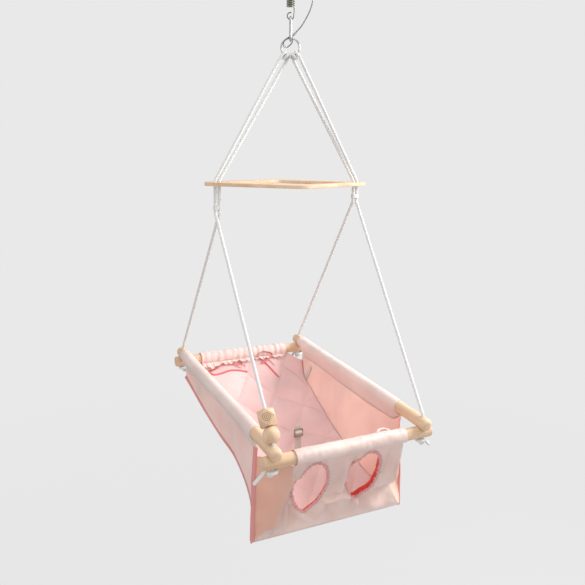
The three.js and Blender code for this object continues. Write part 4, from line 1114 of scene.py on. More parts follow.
bodiesDown = ("ceiling", "spring", "spring_foot", "snap_hook", "cradle")
# The safety cable's places are measured from the ring's middle or the eye
cable = {
    "diameter": 3, "width": 8, "thickness": 5, "length": 10, "lip": 0.3, "lipShare": 0.8, "step": 0.8,
    "lowerFerrule": (7, 0, 29.5), "upperFerrule": (26, -7, -25),
    "lowerAim": (0.68, 0, 0.73), "upperAim": (-0.65, 0, 0.76), "upperSide": (0.76, 0, 0.65),
    "lowerLoop": [(0, -4.3, 25.8), (-10, -4.4, 19.8), (-17.5, -4, 10), (-15, -1, 3), (-9, 2, 1.5),
                  (-1, 3.5, 7), (4, 4.4, 13), (5.5, 4.8, 21)],
    "lowerRun": [(26, 0, 50), (41, 0, 74), (50, 0, 94), (55, 0, 116), (56, -1, 140), (51, -3, 164)],
    "upperRun": [(40, -6, -38)],
    "upperLoop": [(12, -7, -14), (5, -7, -10.5), (-3, -7, -6), (-7.5, -7, -1), (-6, -7, 5), (0, -7, 8.6),
                  (4, -7, 7.2), (8, -7, 3), (13, -7, -4)],
    "cuts": (0, 34, -70, -36, -1),  # steps of a millimetre from either end, where the stretches meet
}


def makeFerrule(name, foot, aim, wide, body):
    radius = cable["thickness"] / 2
    half = (cable["width"] - cable["thickness"]) / 2
    thin = aim.cross(wide)
    length, lip, small = cable["length"], cable["lip"], cable["lipShare"]
    rows = []
    for height, shrink in ((0, small), (lip, 1), (length - lip, 1), (length, small)):
        across, base = radius * shrink, foot + aim * height
        rows.append([inHardware(*(base + wide * oval(half, across, a) + thin * across * sin(a)))
                     for a in circle(32)])
    sleeve = facesOut(gridPiece(name + "_pressed", rows, around=True, ends=True), 30)
    finishPiece(sleeve, "zinc", name, body)


def makeCableLoop(name, face, aim, wide, middle, body):
    def strandEnd(side, run):
        return face + wide * side * (cable["diameter"] + 2 * gap) / 2 + aim * (gap + run)
    curve = curveThrough([strandEnd(-1, cable["diameter"]), *middle, strandEnd(1, cable["diameter"])], 120)
    points = [inHardware(*p) for p in [strandEnd(-1, 0), *curve, strandEnd(1, 0)]]
    piece = tube(name + "_stranded", evenly(points, cable["step"]), cable["diameter"] / 2, 14)
    finishPiece(piece, "cable", name, body)


def makeCable():
    lowerAim, upperAim, upperSide = (
        Vector(cable[aim]).normalized() for aim in ("lowerAim", "upperAim", "upperSide"))
    side = Vector((0, 1, 0))
    (lower,), fromRing, lowerRun = ([Vector(p) + raised(ringMiddle) for p in places] for places in (
        [cable["lowerFerrule"]], cable["lowerLoop"], cable["lowerRun"]))
    (upper,), fromEye, upperRun = ([Vector(p) + raised(eyeLevel) for p in places] for places in (
        [cable["upperFerrule"]], cable["upperLoop"], cable["upperRun"]))
    makeFerrule("lower_cable_ferrule", lower, lowerAim, side, "cradle")
    makeFerrule("upper_cable_ferrule", upper, upperAim, upperSide, "ceiling")
    makeCableLoop("lower_cable_loop", lower, -lowerAim, side, fromRing, "cradle")
    head = upper + upperAim * cable["length"]
    makeCableLoop("upper_cable_loop", head, upperAim, upperSide, fromEye, "ceiling")
    straight = cable["diameter"]
    start, stop = lower + lowerAim * (cable["length"] + gap), upper - upperAim * gap
    curve = curveThrough([start + lowerAim * straight, *lowerRun, *upperRun, stop - upperAim * straight], 200)
    route = evenly([inHardware(*p) for p in [start, *curve, stop]], 1)[::-1]
    # Four stretches, one across each joint between the ceiling and the ring
    cuts = [cut % len(route) for cut in cable["cuts"]]
    for k, (above, below) in enumerate(zip(bodiesDown, bodiesDown[1:])):
        points = route[cuts[k]:cuts[k + 1] + 1]
        piece = tube("safety_cable_" + below, points, cable["diameter"] / 2, 14)
        finishPiece(piece, "cable", "safety_cable" if above == "ceiling" else None, None)
        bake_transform(piece)
        cordOf(points)


# Cloth: the seat hangs between two seams, the panels hang from sleeves round the dowels
sewn = {
    "wall": 1.2, "clearance": 0.6, "frontHalf": 145, "backHalf": 142, "sideBack": 310, "sideFront": 240,
    "slant": 26, "fold": 4, "folds": 3, "pinch": 40, "sag": 50, "cornerCut": 50, "sleeveSeam": 27, "tuck": 1,
    "creases": ((3.2, 95, 1), (1.1, 34, 3)), "puff": (0.03, 40, 9), "ripple": (0.012, 16, 5),
    "rows": 110, "columns": 40, "inner": 4, "round": 24, "outer": 4, "slantRows": 12,
    "endStart": 0.44, "endSeam": 0.3, "sleeveMost": 0.82, "underLayer": 0.2, "overLayer": 0.7,
}
# Each knot of the side seam: its share of the run and of the fall, and how far it is drawn in
seamShares = [
    (0, 0, 0), (0.075, 0.171, 0.35), (0.21, 0.296, 0.5), (0.404, 0.455, 0.75),
    (0.57, 0.568, 0.95), (0.8125, 0.805, 0.7), (1, 1, -0.3),
]
seamBack = inFrame(0, cornerV - 32.5, -76)
seamFront = inFrame(0, 73.4 - cornerV, -278.7)
seamKnots = withEnds([Vector((cornerX - sewn["pinch"] * pinch, lerp(seamBack.y, seamFront.y, run),
                              lerp(seamBack.z, seamFront.z, fall))) for run, fall, pinch in seamShares])
sleeveRadius = dowelRadius + sewn["clearance"] + sewn["wall"] / 2
backAxis = inFrame(0, cornerV, crossLevel)
frontAxis = inFrame(0, -cornerV, crossLevel)
seatBack = backAxis + Vector((0, -sin(radians(25)), -cos(radians(25)))) * 20.5


def seamPoint(along):
    return curveAt(seamKnots, min(max(along, 0), 1))


def mirrored(point, side):
    return Vector((point.x * side, point.y, point.z))


def beside(axis, angle, radius):  # a place round a cross dowel, counted from straight down
    return axis + Vector((0, sin(angle), -cos(angle))) * radius


def sheetOf(piece, share=1):
    area = sum(polygon.area for polygon in piece.data.polygons) * share
    return area


def seamFrame(along):
    # The dowel's middle, the seam's place, the way up the cloth and the way out of the cradle
    top = inFrame(cornerX, lerp(sewn["sideBack"], -sewn["sideFront"], along), sideLevel)
    foot = seamPoint(along)
    tangent = (seamPoint(along + 0.01) - seamPoint(along - 0.01)).normalized()
    upward = top - foot
    upward = (upward - tangent * upward.dot(tangent)).normalized()
    outward = tangent.cross(upward)
    return top, foot, upward, outward if outward.x > 0 else -outward


def sidePoint(side, across, along):
    # A point of the hanging cloth between the dowel's middle and the seam, with its folds
    top, foot, upward, _ = seamFrame(along)
    point = top.lerp(foot + upward * sewn["tuck"], across)
    swell = sin(pi * across)
    point.x += sewn["fold"] * sin(2 * pi * sewn["folds"] * along) * swell
    layers = [(high, size, seed + side) for high, size, seed in sewn["creases"]]
    point.x += wrinkle(Vector((side * 40, point.y, point.z)), *layers) * swell
    return mirrored(point, side)


def sidePanelRow(side, along):
    # Up the inner layer from the sewn line, over the dowel and down the outer layer to the seam
    centre = inFrame(side * cornerX, lerp(sewn["sideBack"], -sewn["sideFront"], along), sideLevel)
    foot = sidePoint(side, 1, along)
    down = (foot - centre).normalized()
    reach = (foot - centre).length
    out = (aside(side) - down * (side * down.x)).normalized()
    # The sleeve's seam comes closer to the dowel at both ends
    narrow = smoothStep(abs(along - 0.5), sewn["endStart"], 0.5)
    seam = sewn["sleeveSeam"] * lerp(1, sewn["endSeam"], narrow)
    drop = min(dowelRadius + seam, reach * sewn["sleeveMost"])
    grip = acos(min(0.98, sleeveRadius / drop))
    puff = 1 + wrinkle(centre, sewn["puff"])
    join = centre + down * drop
    over = out * sewn["wall"] * sewn["overLayer"]
    inner, outer = join - out * sewn["wall"] * sewn["underLayer"], join + over
    touch = centre + (down * cos(grip) - out * sin(grip)) * sleeveRadius * puff
    row = [inner.lerp(touch, share) for share in shares(sewn["inner"])[:-1]]
    for share in shares(sewn["round"]):
        angle = lerp(grip, 2 * pi - grip, share)
        ripple = puff + wrinkle(centre + raised(angle * 20), sewn["ripple"])
        row.append(centre + (down * cos(angle) - out * sin(angle)) * sleeveRadius * ripple)
    last = row[-1]
    row += [last.lerp(outer, share) for share in shares(sewn["outer"])[1:]]
    for share in shares(sewn["columns"])[1:]:
        point = sidePoint(side, lerp(drop / reach, 1, share), along)
        row.append(point + over * (1 - share))
    return row


def makeSidePanels():
    sleeveEnd = sewn["inner"] + sewn["round"] + 1 + sewn["outer"]
    for word, side in bothSides:
        rows = [sidePanelRow(side, share) for share in shares(sewn["rows"])]
        # The sleeve's front end is cut on the slant: its lower side reaches further forward
        count = sewn["slantRows"]
        for share, row in zip(shares(count)[1:], rows[-count:]):
            for point in row[:sleeveEnd + 1]:
                height = smoothStep(point.z - rows[-1][0].z, -sleeveRadius, 2 * sleeveRadius + 20)
                point.y += share * sewn["slant"] * 0.5 * (height - 0.5)
        panel = thicken(gridPiece(word + "_side_panel_sewn", rows, flip=side > 0), sewn["wall"])
        finishPiece(panel, "sideCloth", word + "_side_panel")
        sheetOf(panel)
        innerLine = [row[0].lerp(row[1], 0.15) for row in rows[2:-2]]
        outerLine = [row[sleeveEnd - 1].lerp(row[sleeveEnd - 2], 0.1) for row in rows[2:-2]]
        stitches(word + "_side_panel_stitches", [innerLine, outerLine], "thread", "hem")


piping = {
    "rise": 6.8, "thick": 2.2, "out": 1.0, "drop": 2.4, "gather": 0.35, "steps": 320, "sides": 16,
    "edgeHalf": 5.6, "edgeThick": 1.5, "edgeTurn": radians(42), "edgeStart": 0.12, "threadLift": 0.2,
}


def makePiping():
    # Binding tape folded round the lower seam, slightly gathered, and up the panel's front edge
    for word, side in bothSides:
        rows = []
        for k, share in enumerate(shares(piping["steps"])):
            _, foot, upward, outward = seamFrame(share)
            gather = piping["gather"] * (sin(1.9 * k) + 0.6 * sin(0.77 * k))
            rise, thick = upward * (piping["rise"] + gather), outward * (piping["thick"] + gather)
            middle = foot + outward * piping["out"] - upward * piping["drop"]
            rows.append([mirrored(middle + rise * cos(a) + thick * sin(a), side)
                         for a in circle(piping["sides"])])
        band = facesOut(gridPiece(word + "_piping_binding", rows, around=True, ends=True))
        finishPiece(band, "trim", word + "_piping")
        edge = evenly([sidePoint(side, lerp(piping["edgeStart"], 1, share), 1) for share in shares(60)], 3)
        facing = Vector((side * cos(piping["edgeTurn"]), -sin(piping["edgeTurn"]), 0))
        name = word + "_piping_front_edge"
        finishPiece(tube(name, edge, piping["edgeThick"], 14, piping["edgeHalf"], facing), "trim")
        lifted = [point + facing * (piping["edgeThick"] + piping["threadLift"]) for point in edge]
        stitches(word + "_piping_edge_stitches", [lifted], "thread", "edge")


seat = {"rows": 90, "columns": 60, "wrinkles": ((2.0, 70, 12), (0.8, 24, 13))}


def seatPoint(across, along):
    edge = seamPoint(along)
    half = edge.x - sewn["tuck"]
    x = lerp(-half, half, across)
    rise = smoothStep(half - abs(x), 0, sewn["cornerCut"]) * (1 - along) ** 3
    sag = sewn["sag"] * sin(pi * along) * (1 - (x / half) ** 2)
    return Vector((x, lerp(edge.y, seatBack.y, rise), lerp(edge.z, seatBack.z, rise) - sag))


def makeSeat():
    def place(across, along):
        point = seatPoint(across, along)
        return point - raised(wrinkle(point, *seat["wrinkles"]) * sin(pi * across) * sin(pi * along))
    rows = surface(seat["rows"], seat["columns"], place)
    sheet = thicken(gridPiece("seat_sheet_sewn", rows, flip=True), sewn["wall"])
    finishPiece(sheet, "seatCloth", "seat_sheet")
    sheetOf(sheet)


pad = {
    "thickness": 15, "edge": 3.5, "channel": 3.4, "lift": 1.2, "width": 0.996, "start": 0.008, "end": 0.965,
    "quiltWidth": 126, "quiltLength": 148, "columns": 132, "rows": 200, "crown": 0.42,
    "pucker": (1.5, 9, 21), "puckerFall": 5, "puckerStart": 9, "wrinkle": (1.2, 46, 22), "seamSteps": 400,
    "seamLift": 0.25, "seamEdge": 0.02, "squareSides": 10, "squareEnds": 12,
}


def padSpot(across, along):
    return seatPoint(lerp((1 - pad["width"]) / 2, (1 + pad["width"]) / 2, across),
                     lerp(pad["start"], pad["end"], along))


def padShare(x, along):  # where across the pad that x lies
    left, right = padSpot(0, along).x, padSpot(1, along).x
    return (x - left) / (right - left)


def padRise(across, along, point):
    x, run = point.x / pad["quiltWidth"], (seamBack.y - point.y) / pad["quiltLength"]
    one, other = abs(sin(pi * (x + run))), abs(sin(pi * (x - run)))
    crown = lerp(pad["channel"], pad["thickness"], (one * other) ** pad["crown"])
    sideways = 1 - abs(2 * across - 1) ** pad["squareSides"]
    endways = 1 - abs(2 * along - 1) ** pad["squareEnds"]
    rise = max(pad["edge"], crown * min(sideways, endways) ** 0.5)
    pucker = exp(-min(one, other) * pad["puckerFall"]) * wrinkle(Vector((point.x, point.y, 0)), pad["pucker"])
    start = pad["puckerStart"]
    return rise + pucker * min(1, one * start) * min(1, other * start) + wrinkle(point, pad["wrinkle"])


def onPad(across, along, above=0):
    spot = padSpot(across, along)
    return spot + raised(sewn["wall"] / 2 + pad["lift"] + padRise(across, along, spot) + above)


def makePad():
    def under(across, along):
        return padSpot(across, along) + raised(sewn["wall"] / 2 + pad["lift"])
    top, bottom = (surface(pad["rows"], pad["columns"], place) for place in (onPad, under))
    quilt = gridPiece("seat_pad_quilted", [a + b[::-1] for a, b in zip(top, bottom)], around=True)
    reshaped(quilt, lambda shape: bmesh.ops.holes_fill(
        shape, edges=[edge for edge in shape.edges if edge.is_boundary], sides=0))
    finishPiece(facesOut(quilt), "padCloth", "seat_pad")
    # Thread lies in the bottom of each channel
    routes = []
    for sign in (1, -1):
        for line in range(-3, 9):
            route = []
            for along in shares(pad["seamSteps"])[1:-1]:
                run = seamBack.y - padSpot(0.5, along).y
                across = padShare(pad["quiltWidth"] * (line - run / pad["quiltLength"]) * sign, along)
                if pad["seamEdge"] < across < 1 - pad["seamEdge"]:
                    route.append(onPad(across, along, pad["seamLift"]))
                else:
                    routes.append(route)
                    route = []
            routes.append(route)
    stitches("seat_pad_seams", [route for route in routes if len(route) > 3], "seamThread", "quilt")


front = {
    "fold": 1.6, "folds": 5, "apron": 3.5, "holeWidth": 78, "holeLength": 146, "spacing": 143, "aside": -14,
    "drop": 87, "binding": 5.6, "gathers": 44, "gather": 2.5, "sleeveEase": 1.8, "creaseGain": 2.1,
    "facings": {"left": 7, "right": 16}, "facingThick": 0.8, "steps": 288,
    "sleeveSteps": 28, "fallSteps": 90, "columns": 150, "sleeveStart": radians(110),
    "rough": (3.6, 36, 31), "fine": (1.7, 16, 32), "sleeveRough": (1.1, 26, 41), "sleeveFine": (0.7, 10, 42),
    "lean": (0.55, 0.35), "taper": 0.6, "hem": 0.985, "threadLift": 1.1, "punch": 25, "punchGrow": 1.2,
    "ruffleWide": 1.25, "ruffleTurn": 0.47, "seamRings": (7, 11),
    "facingFlare": 0.4, "facingInset": 1.5, "facingGather": 0.7,
}
# Soft folds of the satin: two ends across and down the panel, half-width and height, in millimetres
creases = [
    ((-146, 40), (-174, 224), 7, 11), ((-130, 60), (-146, 190), 11, -8), ((-120, 150), (-112, 212), 9, -8),
    ((-96, 176), (-52, 216), 13, 9), ((-10, 176), (12, 214), 16, -10), ((57, 176), (46, 228), 8, 10),
    ((100, 214), (180, 220), 24, 13), ((80, 176), (170, 160), 16, -7), ((-40, 140), (44, 146), 7, 7),
    ((-6, 12), (-2, 122), 8, 6), ((22, 8), (14, 118), 7, -7), ((140, 16), (156, 120), 10, 5),
    ((118, 24), (122, 96), 8, -4), ((-118, 10), (-134, 60), 8, 4), ((-70, 8), (-64, 20), 6, 4),
    ((60, 6), (66, 18), 6, 4),
]
frontHead = frontAxis - raised(sleeveRadius)
frontFoot = seamFront + Vector((0, -1.6, -2))
frontFootHalf = seamPoint(1).x
frontFall = (frontFoot - frontHead).normalized()
frontFace = Vector((0, frontFall.z, -frontFall.y))
panelDrop = (frontFoot - frontHead).length


def creaseRise(x, down):
    rise = 0
    for (x0, down0), (x1, down1), wide, high in creases:
        runX, runDown = x1 - x0, down1 - down0
        share = ((x - x0) * runX + (down - down0) * runDown) / (runX ** 2 + runDown ** 2)
        share = max(0, min(1, share))
        away = hypot(x - x0 - runX * share, down - down0 - runDown * share)
        rise += front["creaseGain"] * high * exp(-(away / wide) ** 2)
    return rise


def frontHalfAt(along):
    return lerp(sewn["frontHalf"], frontFootHalf, max(along, 0) ** front["apron"])


def frontRise(x, down):
    # How far the folds lift the satin off its plane
    along = min(max(down / panelDrop, 0), 1)
    across = (x / frontHalfAt(along) + 1) / 2
    swell = sin(pi * min(along * 1.02, 1)) ** front["taper"]
    lean = Vector((x + front["lean"][0] * down, 0, front["lean"][1] * down))
    rough = wrinkle(lean, front["rough"]) + wrinkle(Vector((x, 0, down)), front["fine"])
    wave = front["fold"] * cos(2 * pi * front["folds"] * across)
    return (wave + rough + creaseRise(x, down)) * swell


def frontPoint(across, along):
    half = frontHalfAt(along)
    x = lerp(-half, half, across)
    point = frontHead.lerp(frontFoot, along) + frontFace * frontRise(x, along * panelDrop)
    point.x = x
    return point


def holePoint(side, angle, grow=0, lift=0):
    centre = frontHead + frontFall * front["drop"] + aside(front["aside"] + side * front["spacing"] / 2)
    wide, long = ((front[size] + front["binding"]) / 2 for size in ("holeWidth", "holeLength"))
    rim = centre + aside(wide * cos(angle)) + frontFall * (long * sin(angle))
    height = lift + frontRise(rim.x, (rim - frontHead).dot(frontFall))
    return rim + aside(grow * cos(angle)) + frontFall * (grow * sin(angle)) + frontFace * height


def frontSleeve(across, down):
    # The cloth goes over the dowel like the side panels: behind it, over it and down the front
    angle, x = lerp(front["sleeveStart"], 2 * pi, down), lerp(-sewn["frontHalf"], sewn["frontHalf"], across)
    ripple = (wrinkle(Vector((x, angle * 14, 0)), front["sleeveRough"])
              + wrinkle(Vector((x, angle * 9, 0)), front["sleeveFine"]))
    ease = front["sleeveEase"] * sin(pi * down)
    return beside(aside(x) + frontAxis, angle, sleeveRadius + ease * (1 + ripple))


def makeFrontPanel():
    rows = surface(front["sleeveSteps"], front["columns"], frontSleeve)
    rows += surface(front["fallSteps"], front["columns"], frontPoint)[1:]
    panel = applied(thicken(gridPiece("front_panel_sewn", rows, flip=True), sewn["wall"]))
    panel = cutAway(panel, [gridPiece("punch", [
        [holePoint(side, angle, front["punchGrow"], lift) for angle in circle(96)]
        for lift in (-front["punch"], front["punch"])
    ], around=True, ends=True) for _, side in bothSides])
    shadeSmooth(panel.data)
    finishPiece(panel, "paleCloth", "front_panel")
    sheetOf(panel, share=0.5)
    half = sewn["frontHalf"]
    hem = [frontPoint(share, front["hem"]) + frontFace * front["threadLift"] for share in shares(100)]
    seamWay = Vector((0, -0.35, -1)).normalized() * (sleeveRadius + 1.2)
    sleeveLine = [aside(lerp(-half, half, share)) + frontAxis + seamWay for share in shares(100)]
    ends = [[beside(frontAxis + aside(side * (half - 5)), angle, sleeveRadius + 1.0)
             for angle in np.linspace(front["sleeveStart"], radians(350), 60)] for _, side in bothSides]
    stitches("front_panel_stitches", [hem, sleeveLine, *ends], "seamThread", "hem")


def makeLegBindings():
    gathers = front["gathers"]
    for word, side in bothSides:
        name = word + "_leg_binding"
        rows, lining = [], [[] for _ in range(4)]
        for angle in circle(front["steps"]):
            gather = sin(gathers * angle)
            slower = 0.5 * sin(gathers * front["ruffleTurn"] * angle + 1)
            radius = front["binding"] / 2 + front["gather"] * (gather + slower) / 2
            wide = radius * front["ruffleWide"]
            rows.append([holePoint(side, angle, wide * cos(a), radius * sin(a)) for a in circle(14)])
            # The red lining turned in behind the hole
            for k, row in enumerate(lining):
                depth = front["facings"][word] * k / 3
                ripple = front["facingGather"] * gather * (0.3 + depth / 20)
                grow = front["facingFlare"] * k ** 2 - front["facingInset"] + ripple
                row.append(holePoint(side, angle, grow, -depth - 1))
        band = facesOut(gridPiece(name + "_gathered", rows, around=True, along=True))
        finishPiece(band, "ruffle", name)
        facing = gridPiece(name + "_facing", lining, around=True)
        finishPiece(thicken(facing, front["facingThick"]), "facing")
        loops = [[onPanel(holePoint(side, angle, grow)) for angle in circle(160)]
                 for grow in front["seamRings"]]
        stitches(name + "_stitches", loops, "thread", "ruffle", loop=True)


def onPanel(point):
    along = (point - frontHead).dot(frontFall) / panelDrop
    half = frontHalfAt(along)
    return frontPoint((point.x + half) / (2 * half), along) + frontFace * 1.0


gusset = {
    "leftBow": 20, "rightBow": 7, "start": 0.2, "rows": 60, "columns": 24, "crease": (2.2, 30, 61),
    "seam": (0.03, 0.995), "bowStart": 0.15, "thick": 0.7, "out": 0.5, "forward": 0.85,
}


def gussetPoint(side, share, fall):
    edge = sidePoint(side, lerp(gusset["start"], 1, fall), 1)
    seam = frontPoint((side + 1) / 2, lerp(*gusset["seam"], fall))
    hollow = sin(pi * share)
    swell = hollow * sin(pi * lerp(gusset["bowStart"], 1, fall))
    bow = gusset["leftBow" if side < 0 else "rightBow"] * swell
    point = edge.lerp(seam, share) + Vector((-side * gusset["out"], gusset["forward"], 0)) * bow
    point.y += wrinkle(point, gusset["crease"]) * hollow
    return point


def makeGussets():
    # A gore closes each front corner, from the side panel's edge to the front panel
    for word, side in bothSides:
        name = word + "_front_gusset"
        rows = surface(gusset["rows"], gusset["columns"], lambda share, fall: gussetPoint(side, share, fall))
        gore = thicken(gridPiece(name, rows, flip=side < 0), sewn["wall"] * gusset["thick"])
        finishPiece(gore, "gusset")
        area = sheetOf(gore)
        print(name, "has an area of", round(area, 4), "square metres")


back = {
    "columns": 240, "turns": 48, "start": -2.6, "end": 3.5, "ease": 2.2, "fold": (1.5, 0.3, (5, 60, 51)),
    "pucker": (0.5, 46, 54), "wrinkle": (1.8, 17, 52), "frillRows": 12, "frillThick": 0.9, "frillInset": 2,
    "frillFold": (2.6, 0.3, (2.5, 50, 53)), "frillHang": (26, 14), "frillOut": 0.75, "frillDown": 0.55,
    "frillStart": 0.75, "frillFine": 0.83, "hangFrom": (-120, -30), "hangPace": 0.11,
}


def backSleevePoint(across, down):
    # Deep uneven gathers round the elastic
    angle, x = lerp(back["start"], back["end"], down), lerp(-sewn["backHalf"], sewn["backHalf"], across)
    high, pace, drift = back["fold"]
    spot = Vector((x, angle * 9, 0))
    pucker = 0.5 + wrinkle(aside(x), back["pucker"])
    fold = high * pucker * sin(x * pace + wrinkle(spot, drift)) + wrinkle(spot, back["wrinkle"])
    radius = sleeveRadius + back["ease"] + fold * (0.7 + 0.3 * sin(angle))
    return backAxis + Vector((x, -cos(angle) * radius, sin(angle) * radius))


def frillPoint(across, share):
    # The gathers open into a frill at the sleeve's lower edge
    half = sewn["backHalf"] - back["frillInset"]
    x = lerp(-half, half, across)
    high, pace, drift = back["frillFold"]
    fold = sin(x * pace + wrinkle(aside(x), drift)) + 0.5 * sin(x * back["frillFine"])
    hang = lerp(*back["frillHang"], smoothStep(x, *back["hangFrom"]))
    hang *= 0.8 + 0.2 * sin(x * back["hangPace"] + 1.3)
    reach, angle = sleeveRadius + 2, back["frillStart"]
    start = backAxis + Vector((x, -cos(angle) * reach, -sin(angle) * reach))
    return start + Vector((0, -hang * share * back["frillOut"],
                           -hang * share * back["frillDown"] + high * fold * share + 1.5))


def makeBackSleeve():
    for name, rows, place, wall, flat, node in (
        ("back_sleeve_gathered", back["turns"], backSleevePoint, sewn["wall"], (0.33, 0.11), "back_sleeve"),
        ("back_sleeve_frill", back["frillRows"], frillPoint, back["frillThick"], (0.3, 0.018), None),
    ):
        piece = thicken(gridPiece(name, surface(rows, back["columns"], place)), wall)
        finishPiece(piece, "sleeveCloth", node)


strap = {
    "width": 20, "thickness": 1.6, "end": 8, "bend": 1.2, "clearance": 0.5, "tabGap": 0.4, "softEdge": 0.7,
    "place": (-66.5, -128.2), "sliderWidth": 27, "sliderHeight": 23, "sliderThickness": 3, "sliderBar": 3,
}


def flatStrap(name, route, width, thick):
    # A rounded flat section carried along a route in an upright plane across X
    rows = []
    for index, point in enumerate(route):
        way = (route[min(index + 1, len(route) - 1)] - route[max(index - 1, 0)]).normalized()
        across = Vector((0, -way.z, way.y))
        rows.append([point + aside(oval((width - thick) / 2, thick / 2, a, 1.6))
                     + across * (thick / 2 * sin(a)) for a in circle(24)])
    return facesOut(gridPiece(name, rows, around=True, ends=True), 50)


def bisect(high, beyond):  # where, from 0 to high, the test stops to hold
    low = 0.0
    for _ in range(30):
        middle = (low + high) / 2
        if beyond(middle):
            low = middle
        else:
            high = middle
    return low


def makeStrap():
    # The strap comes up behind the slider, forward through its lower window and back through the upper one
    s = strap
    _, behind, level = inFrame(0, *s["place"])
    middle = behind - s["sliderThickness"] / 2 - gap - s["thickness"] / 2
    before = 2 * middle - behind
    foot = seatPoint(0.5, bisect(1.0, lambda share: seatPoint(0.5, share).y > behind)).z + 2
    edge, bar, inset = s["sliderHeight"] / 2, s["sliderBar"], s["thickness"] / 4
    inner, outer = bar / 2 + inset, edge - bar - inset
    corners = [(behind, foot), (behind, level - outer), (before, level - inner), (before, level + inner),
               (behind, level + outer), (behind, level + edge + s["end"])]
    bends = [0, *[s["bend"]] * 4, 0]
    route = evenly(rounded([(Vector((0, *p)), bend) for p, bend in zip(corners, bends)], pi / 8), 1.5)
    finishPiece(flatStrap("crotch_strap_woven", route, s["width"], s["thickness"]), "webbing", "crotch_strap")
    plate = boxPiece("strap_slider_moulded", (s["sliderWidth"], s["sliderThickness"], s["sliderHeight"]),
                     placed((0, middle, level)))
    window = (s["sliderHeight"] - 3 * s["sliderBar"]) / 2
    tools = [boxPiece("window", (s["width"] + 2 * s["clearance"], 10, window),
                      placed((0, middle, level + side * (window + s["sliderBar"]) / 2))) for side in (-1, 1)]
    finishPiece(soften(cutAway(facesOut(plate), tools), s["softEdge"]), "slider", "strap_slider")


# Webbing on the side panels: the side, the shares across the hanging cloth and the shares along it
tabs = {
    "left_waist_tab": (-1, (0.5, 0.92), (0.19, 0.225)), "right_waist_tab": (1, (0.5, 0.92), (0.19, 0.225)),
    "right_strap_end": (1, (0.47, 0.66), (0.93, 0.965)),
}
# The buckle hangs outside the right corner, where the waist strap comes out
buckle = {
    "size": (3, 19, 34), "place": (0.5, 0.17), "shift": (2.4, -4, 0), "turn": radians(-60), "softEdge": 1.1,
}


def makeTabs():
    for name, (side, across, along) in tabs.items():
        offset = -side * (sewn["wall"] / 2 + strap["tabGap"] + strap["thickness"] / 2 + 0.4)
        rows = surface(24, 8, lambda k, r: sidePoint(side, lerp(*across, r), lerp(*along, k)) + aside(offset))
        tab = thicken(gridPiece(name + "_woven", rows, flip=side > 0), strap["thickness"])
        finishPiece(tab, "webbing", name)
    place = placed(gussetPoint(1, *buckle["place"]) + Vector(buckle["shift"]), turned(buckle["turn"], "Z"))
    finishPiece(soften(boxPiece("right_strap_buckle", buckle["size"], place), buckle["softEdge"]), "slider")


# Shares across and along the pad, or for front_tie the place across, the angle round the sleeve and the lift
ties = {
    "left_tie": [(0.3, 0.06), (0.36, 0.04), (0.43, 0.045), (0.47, 0.06), (0.42, 0.085)],
    "right_tie": [(0.6, 0.045), (0.66, 0.04), (0.7, 0.06), (0.75, 0.1), (0.79, 0.15)],
    "front_tie": [(76, 24, 0), (80, 34, 5), (88, 42, 11), (98, 44, 12), (106, 38, 6), (110, 28, 0)],
}
# Bows at the back edge: places across and above the back dowel's axis
bows = {
    "left_bow": [(-4, -33), (-43, -21), (-76, -19), (-99, -29), (-125, -37), (-112, -46), (-86, -45),
                 (-58, -41), (-30, -44), (2, -53)],
    "right_bow": [(52, -30), (62, -26), (46, -15), (42, -4), (54, 4), (70, 2), (86, -4), (90, -12), (78, -22),
                  (63, -28), (70, -38), (82, -54), (96, -74)],
}
ribbonSizes = {
    "tie": 4.6, "bow": 6.0, "thick": 0.5, "reach": 5.5, "brim": -15, "hem": -34, "slope": 0.75,
    "onTie": 1.2, "onBow": 2, "onSleeve": 2.4, "lifted": 0.6,
}


def onBack(x, above):
    # A place on the back sleeve or, below its hem, on the pad
    def onSeat(along):
        return onPad(padShare(x, along), along, ribbonSizes["onBow"])
    reach, brim = sleeveRadius + ribbonSizes["reach"], ribbonSizes["brim"]
    if above > ribbonSizes["hem"]:
        forward = sqrt(reach ** 2 - max(above, brim) ** 2) + ribbonSizes["slope"] * max(brim - above, 0)
        return backAxis + Vector((x, -forward, above))
    return onSeat(bisect(0.4, lambda along: onSeat(along).z > backAxis.z + above))


def makeTies():
    for name in ("left_tie", "right_tie"):
        points = [onPad((lerp(0.05, 0.95, across) - (1 - pad["width"]) / 2) / pad["width"], along,
                        ribbonSizes["onTie"]) for across, along in ties[name]]
        ribbon(name, points, raised(1), "ribbon", ribbonSizes["tie"])
    for name, places in bows.items():
        points = [onBack(*place) for place in places]
        ribbon(name, points, Vector((0, -0.5, 0.87)), "ribbon", ribbonSizes["bow"])
    reach = sleeveRadius + ribbonSizes["onSleeve"]
    points = [beside(frontAxis, pi - radians(angle), reach + lift * ribbonSizes["lifted"]) + aside(x)
              for x, angle, lift in ties["front_tie"]]
    ribbon("front_tie", points, raised(1), "sleeveCloth", ribbonSizes["bow"])


def ribbon(name, points, up, finish, width):
    route = evenly(curveThrough(points, 120), 1)
    piece = tube(name + "_ribbon", route, ribbonSizes["thick"], 12, width / 2, up)
    finishPiece(piece, finish, name if name in ties else None)
    cordOf(route)
    print(name, "is", round(lengths(route)[-1], 3), "m long")


studio = {
    "floor": -2150, "floorHalf": 9000, "backdrop": colour(233, 233, 233), "paper": colour(206, 206, 206),
    "ambient": (0.62, 0.62, 0.63, 1), "shadowNear": 0.9, "shadowFar": 3.2, "shadowShare": 0.1,
}
# Each lamp's place and aim, its size and its power in watts
lamps = {
    "window": ((1690, -480, 20), (0, 0, -1050), 1050, 52),
    "top": ((-350, -900, 1300), (0, 0, -1100), 1500, 10),
    "fill": ((-1700, -1900, -300), (0, 0, -1050), 1800, 7),
}


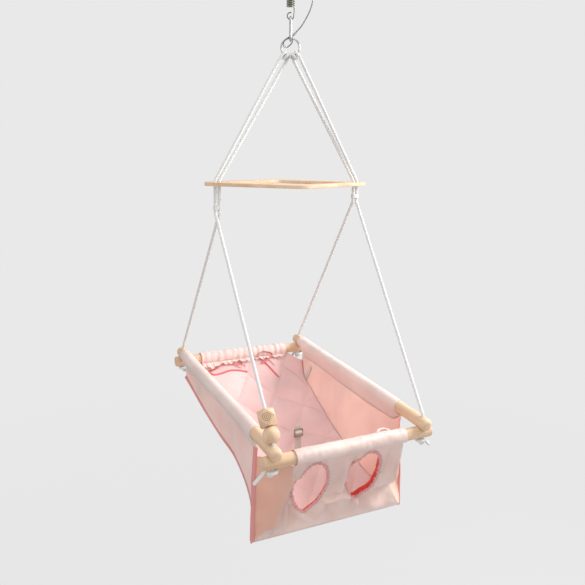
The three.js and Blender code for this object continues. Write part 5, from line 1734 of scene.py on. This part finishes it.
def makeStudio():
    # The camera sees the backdrop's colour, with a trace of the paper's own shading under the part
    floor = Finish("studio paper", studio["paper"], 0.95)
    glow = floor.node("ShaderNodeEmission", None, {"Color": studio["backdrop"], "Strength": 1.0})
    x, y, _ = floor.parts(floor.place())
    away = floor.clamp(floor.maths("SQRT", x * x + y * y), studio["shadowNear"], studio["shadowFar"])
    share = floor.seenByCamera() * (1 - studio["shadowShare"] + studio["shadowShare"] * away)
    blend = floor.node("ShaderNodeMixShader", None, {0: share})
    output = next(n for n in floor.tree.nodes if n.type == "OUTPUT_MATERIAL")
    sockets = (blend.inputs[1], blend.inputs[2], output.inputs["Surface"])
    for made, socket in zip((floor.shader, glow, blend), sockets):
        floor.tree.links.new(made.outputs[0], socket)
    half, level = studio["floorHalf"], studio["floor"]
    corners = [(x * half, y * half, level) for x, y in ((-1, -1), (1, -1), (1, 1), (-1, 1))]
    ground = meshPiece("floor", corners, [(0, 1, 2, 3)])
    ground.data.materials.append(floor.material)
    world = bpy.data.worlds.new("studio")
    bpy.context.scene.world = world
    world.use_nodes = True
    sky, paint = Nodes(world.node_tree), world.node_tree.nodes["Background"]
    tint = sky.node("ShaderNodeMix", {"data_type": "RGBA"}, {
        0: sky.seenByCamera(), 6: studio["ambient"], 7: studio["backdrop"],
    })
    world.node_tree.links.new(tint.outputs[2], paint.inputs["Color"])
    paint.inputs["Strength"].default_value = 1.0


def makeLamps():
    for name, (place, aim, size, power) in lamps.items():
        data = bpy.data.lights.new(name, "AREA")
        data.size = size * mm
        data.energy = power
        lamp = linked(name, data)
        lamp.location = Vector(place) * mm
        lamp.rotation_euler = (Vector(aim) - Vector(place)).to_track_quat("-Z", "Y").to_euler()
    bpy.context.scene.view_settings.view_transform = "Standard"


for stage, makers in (
    ("finishes and trees", (makeCamera, makeFinishes)),
    ("ropes and cable", (makeRopes, makeWhippings, makeCable)),
    ("steelwork", (makePlate, makeEye, makeSpring, makeHook)),
    ("wood", (makeDowels, makeSpreader, makeBeads)),
    ("cloth", (makeSidePanels, makePiping, makeSeat, makePad, makeFrontPanel, makeLegBindings, makeGussets,
               makeBackSleeve)),
    ("straps and ties", (makeStrap, makeTabs, makeTies)),
    ("studio", (makeStudio, makeLamps)),
):
    for make in makers:
        make()
    print(stage, "made")
print("scene finished")
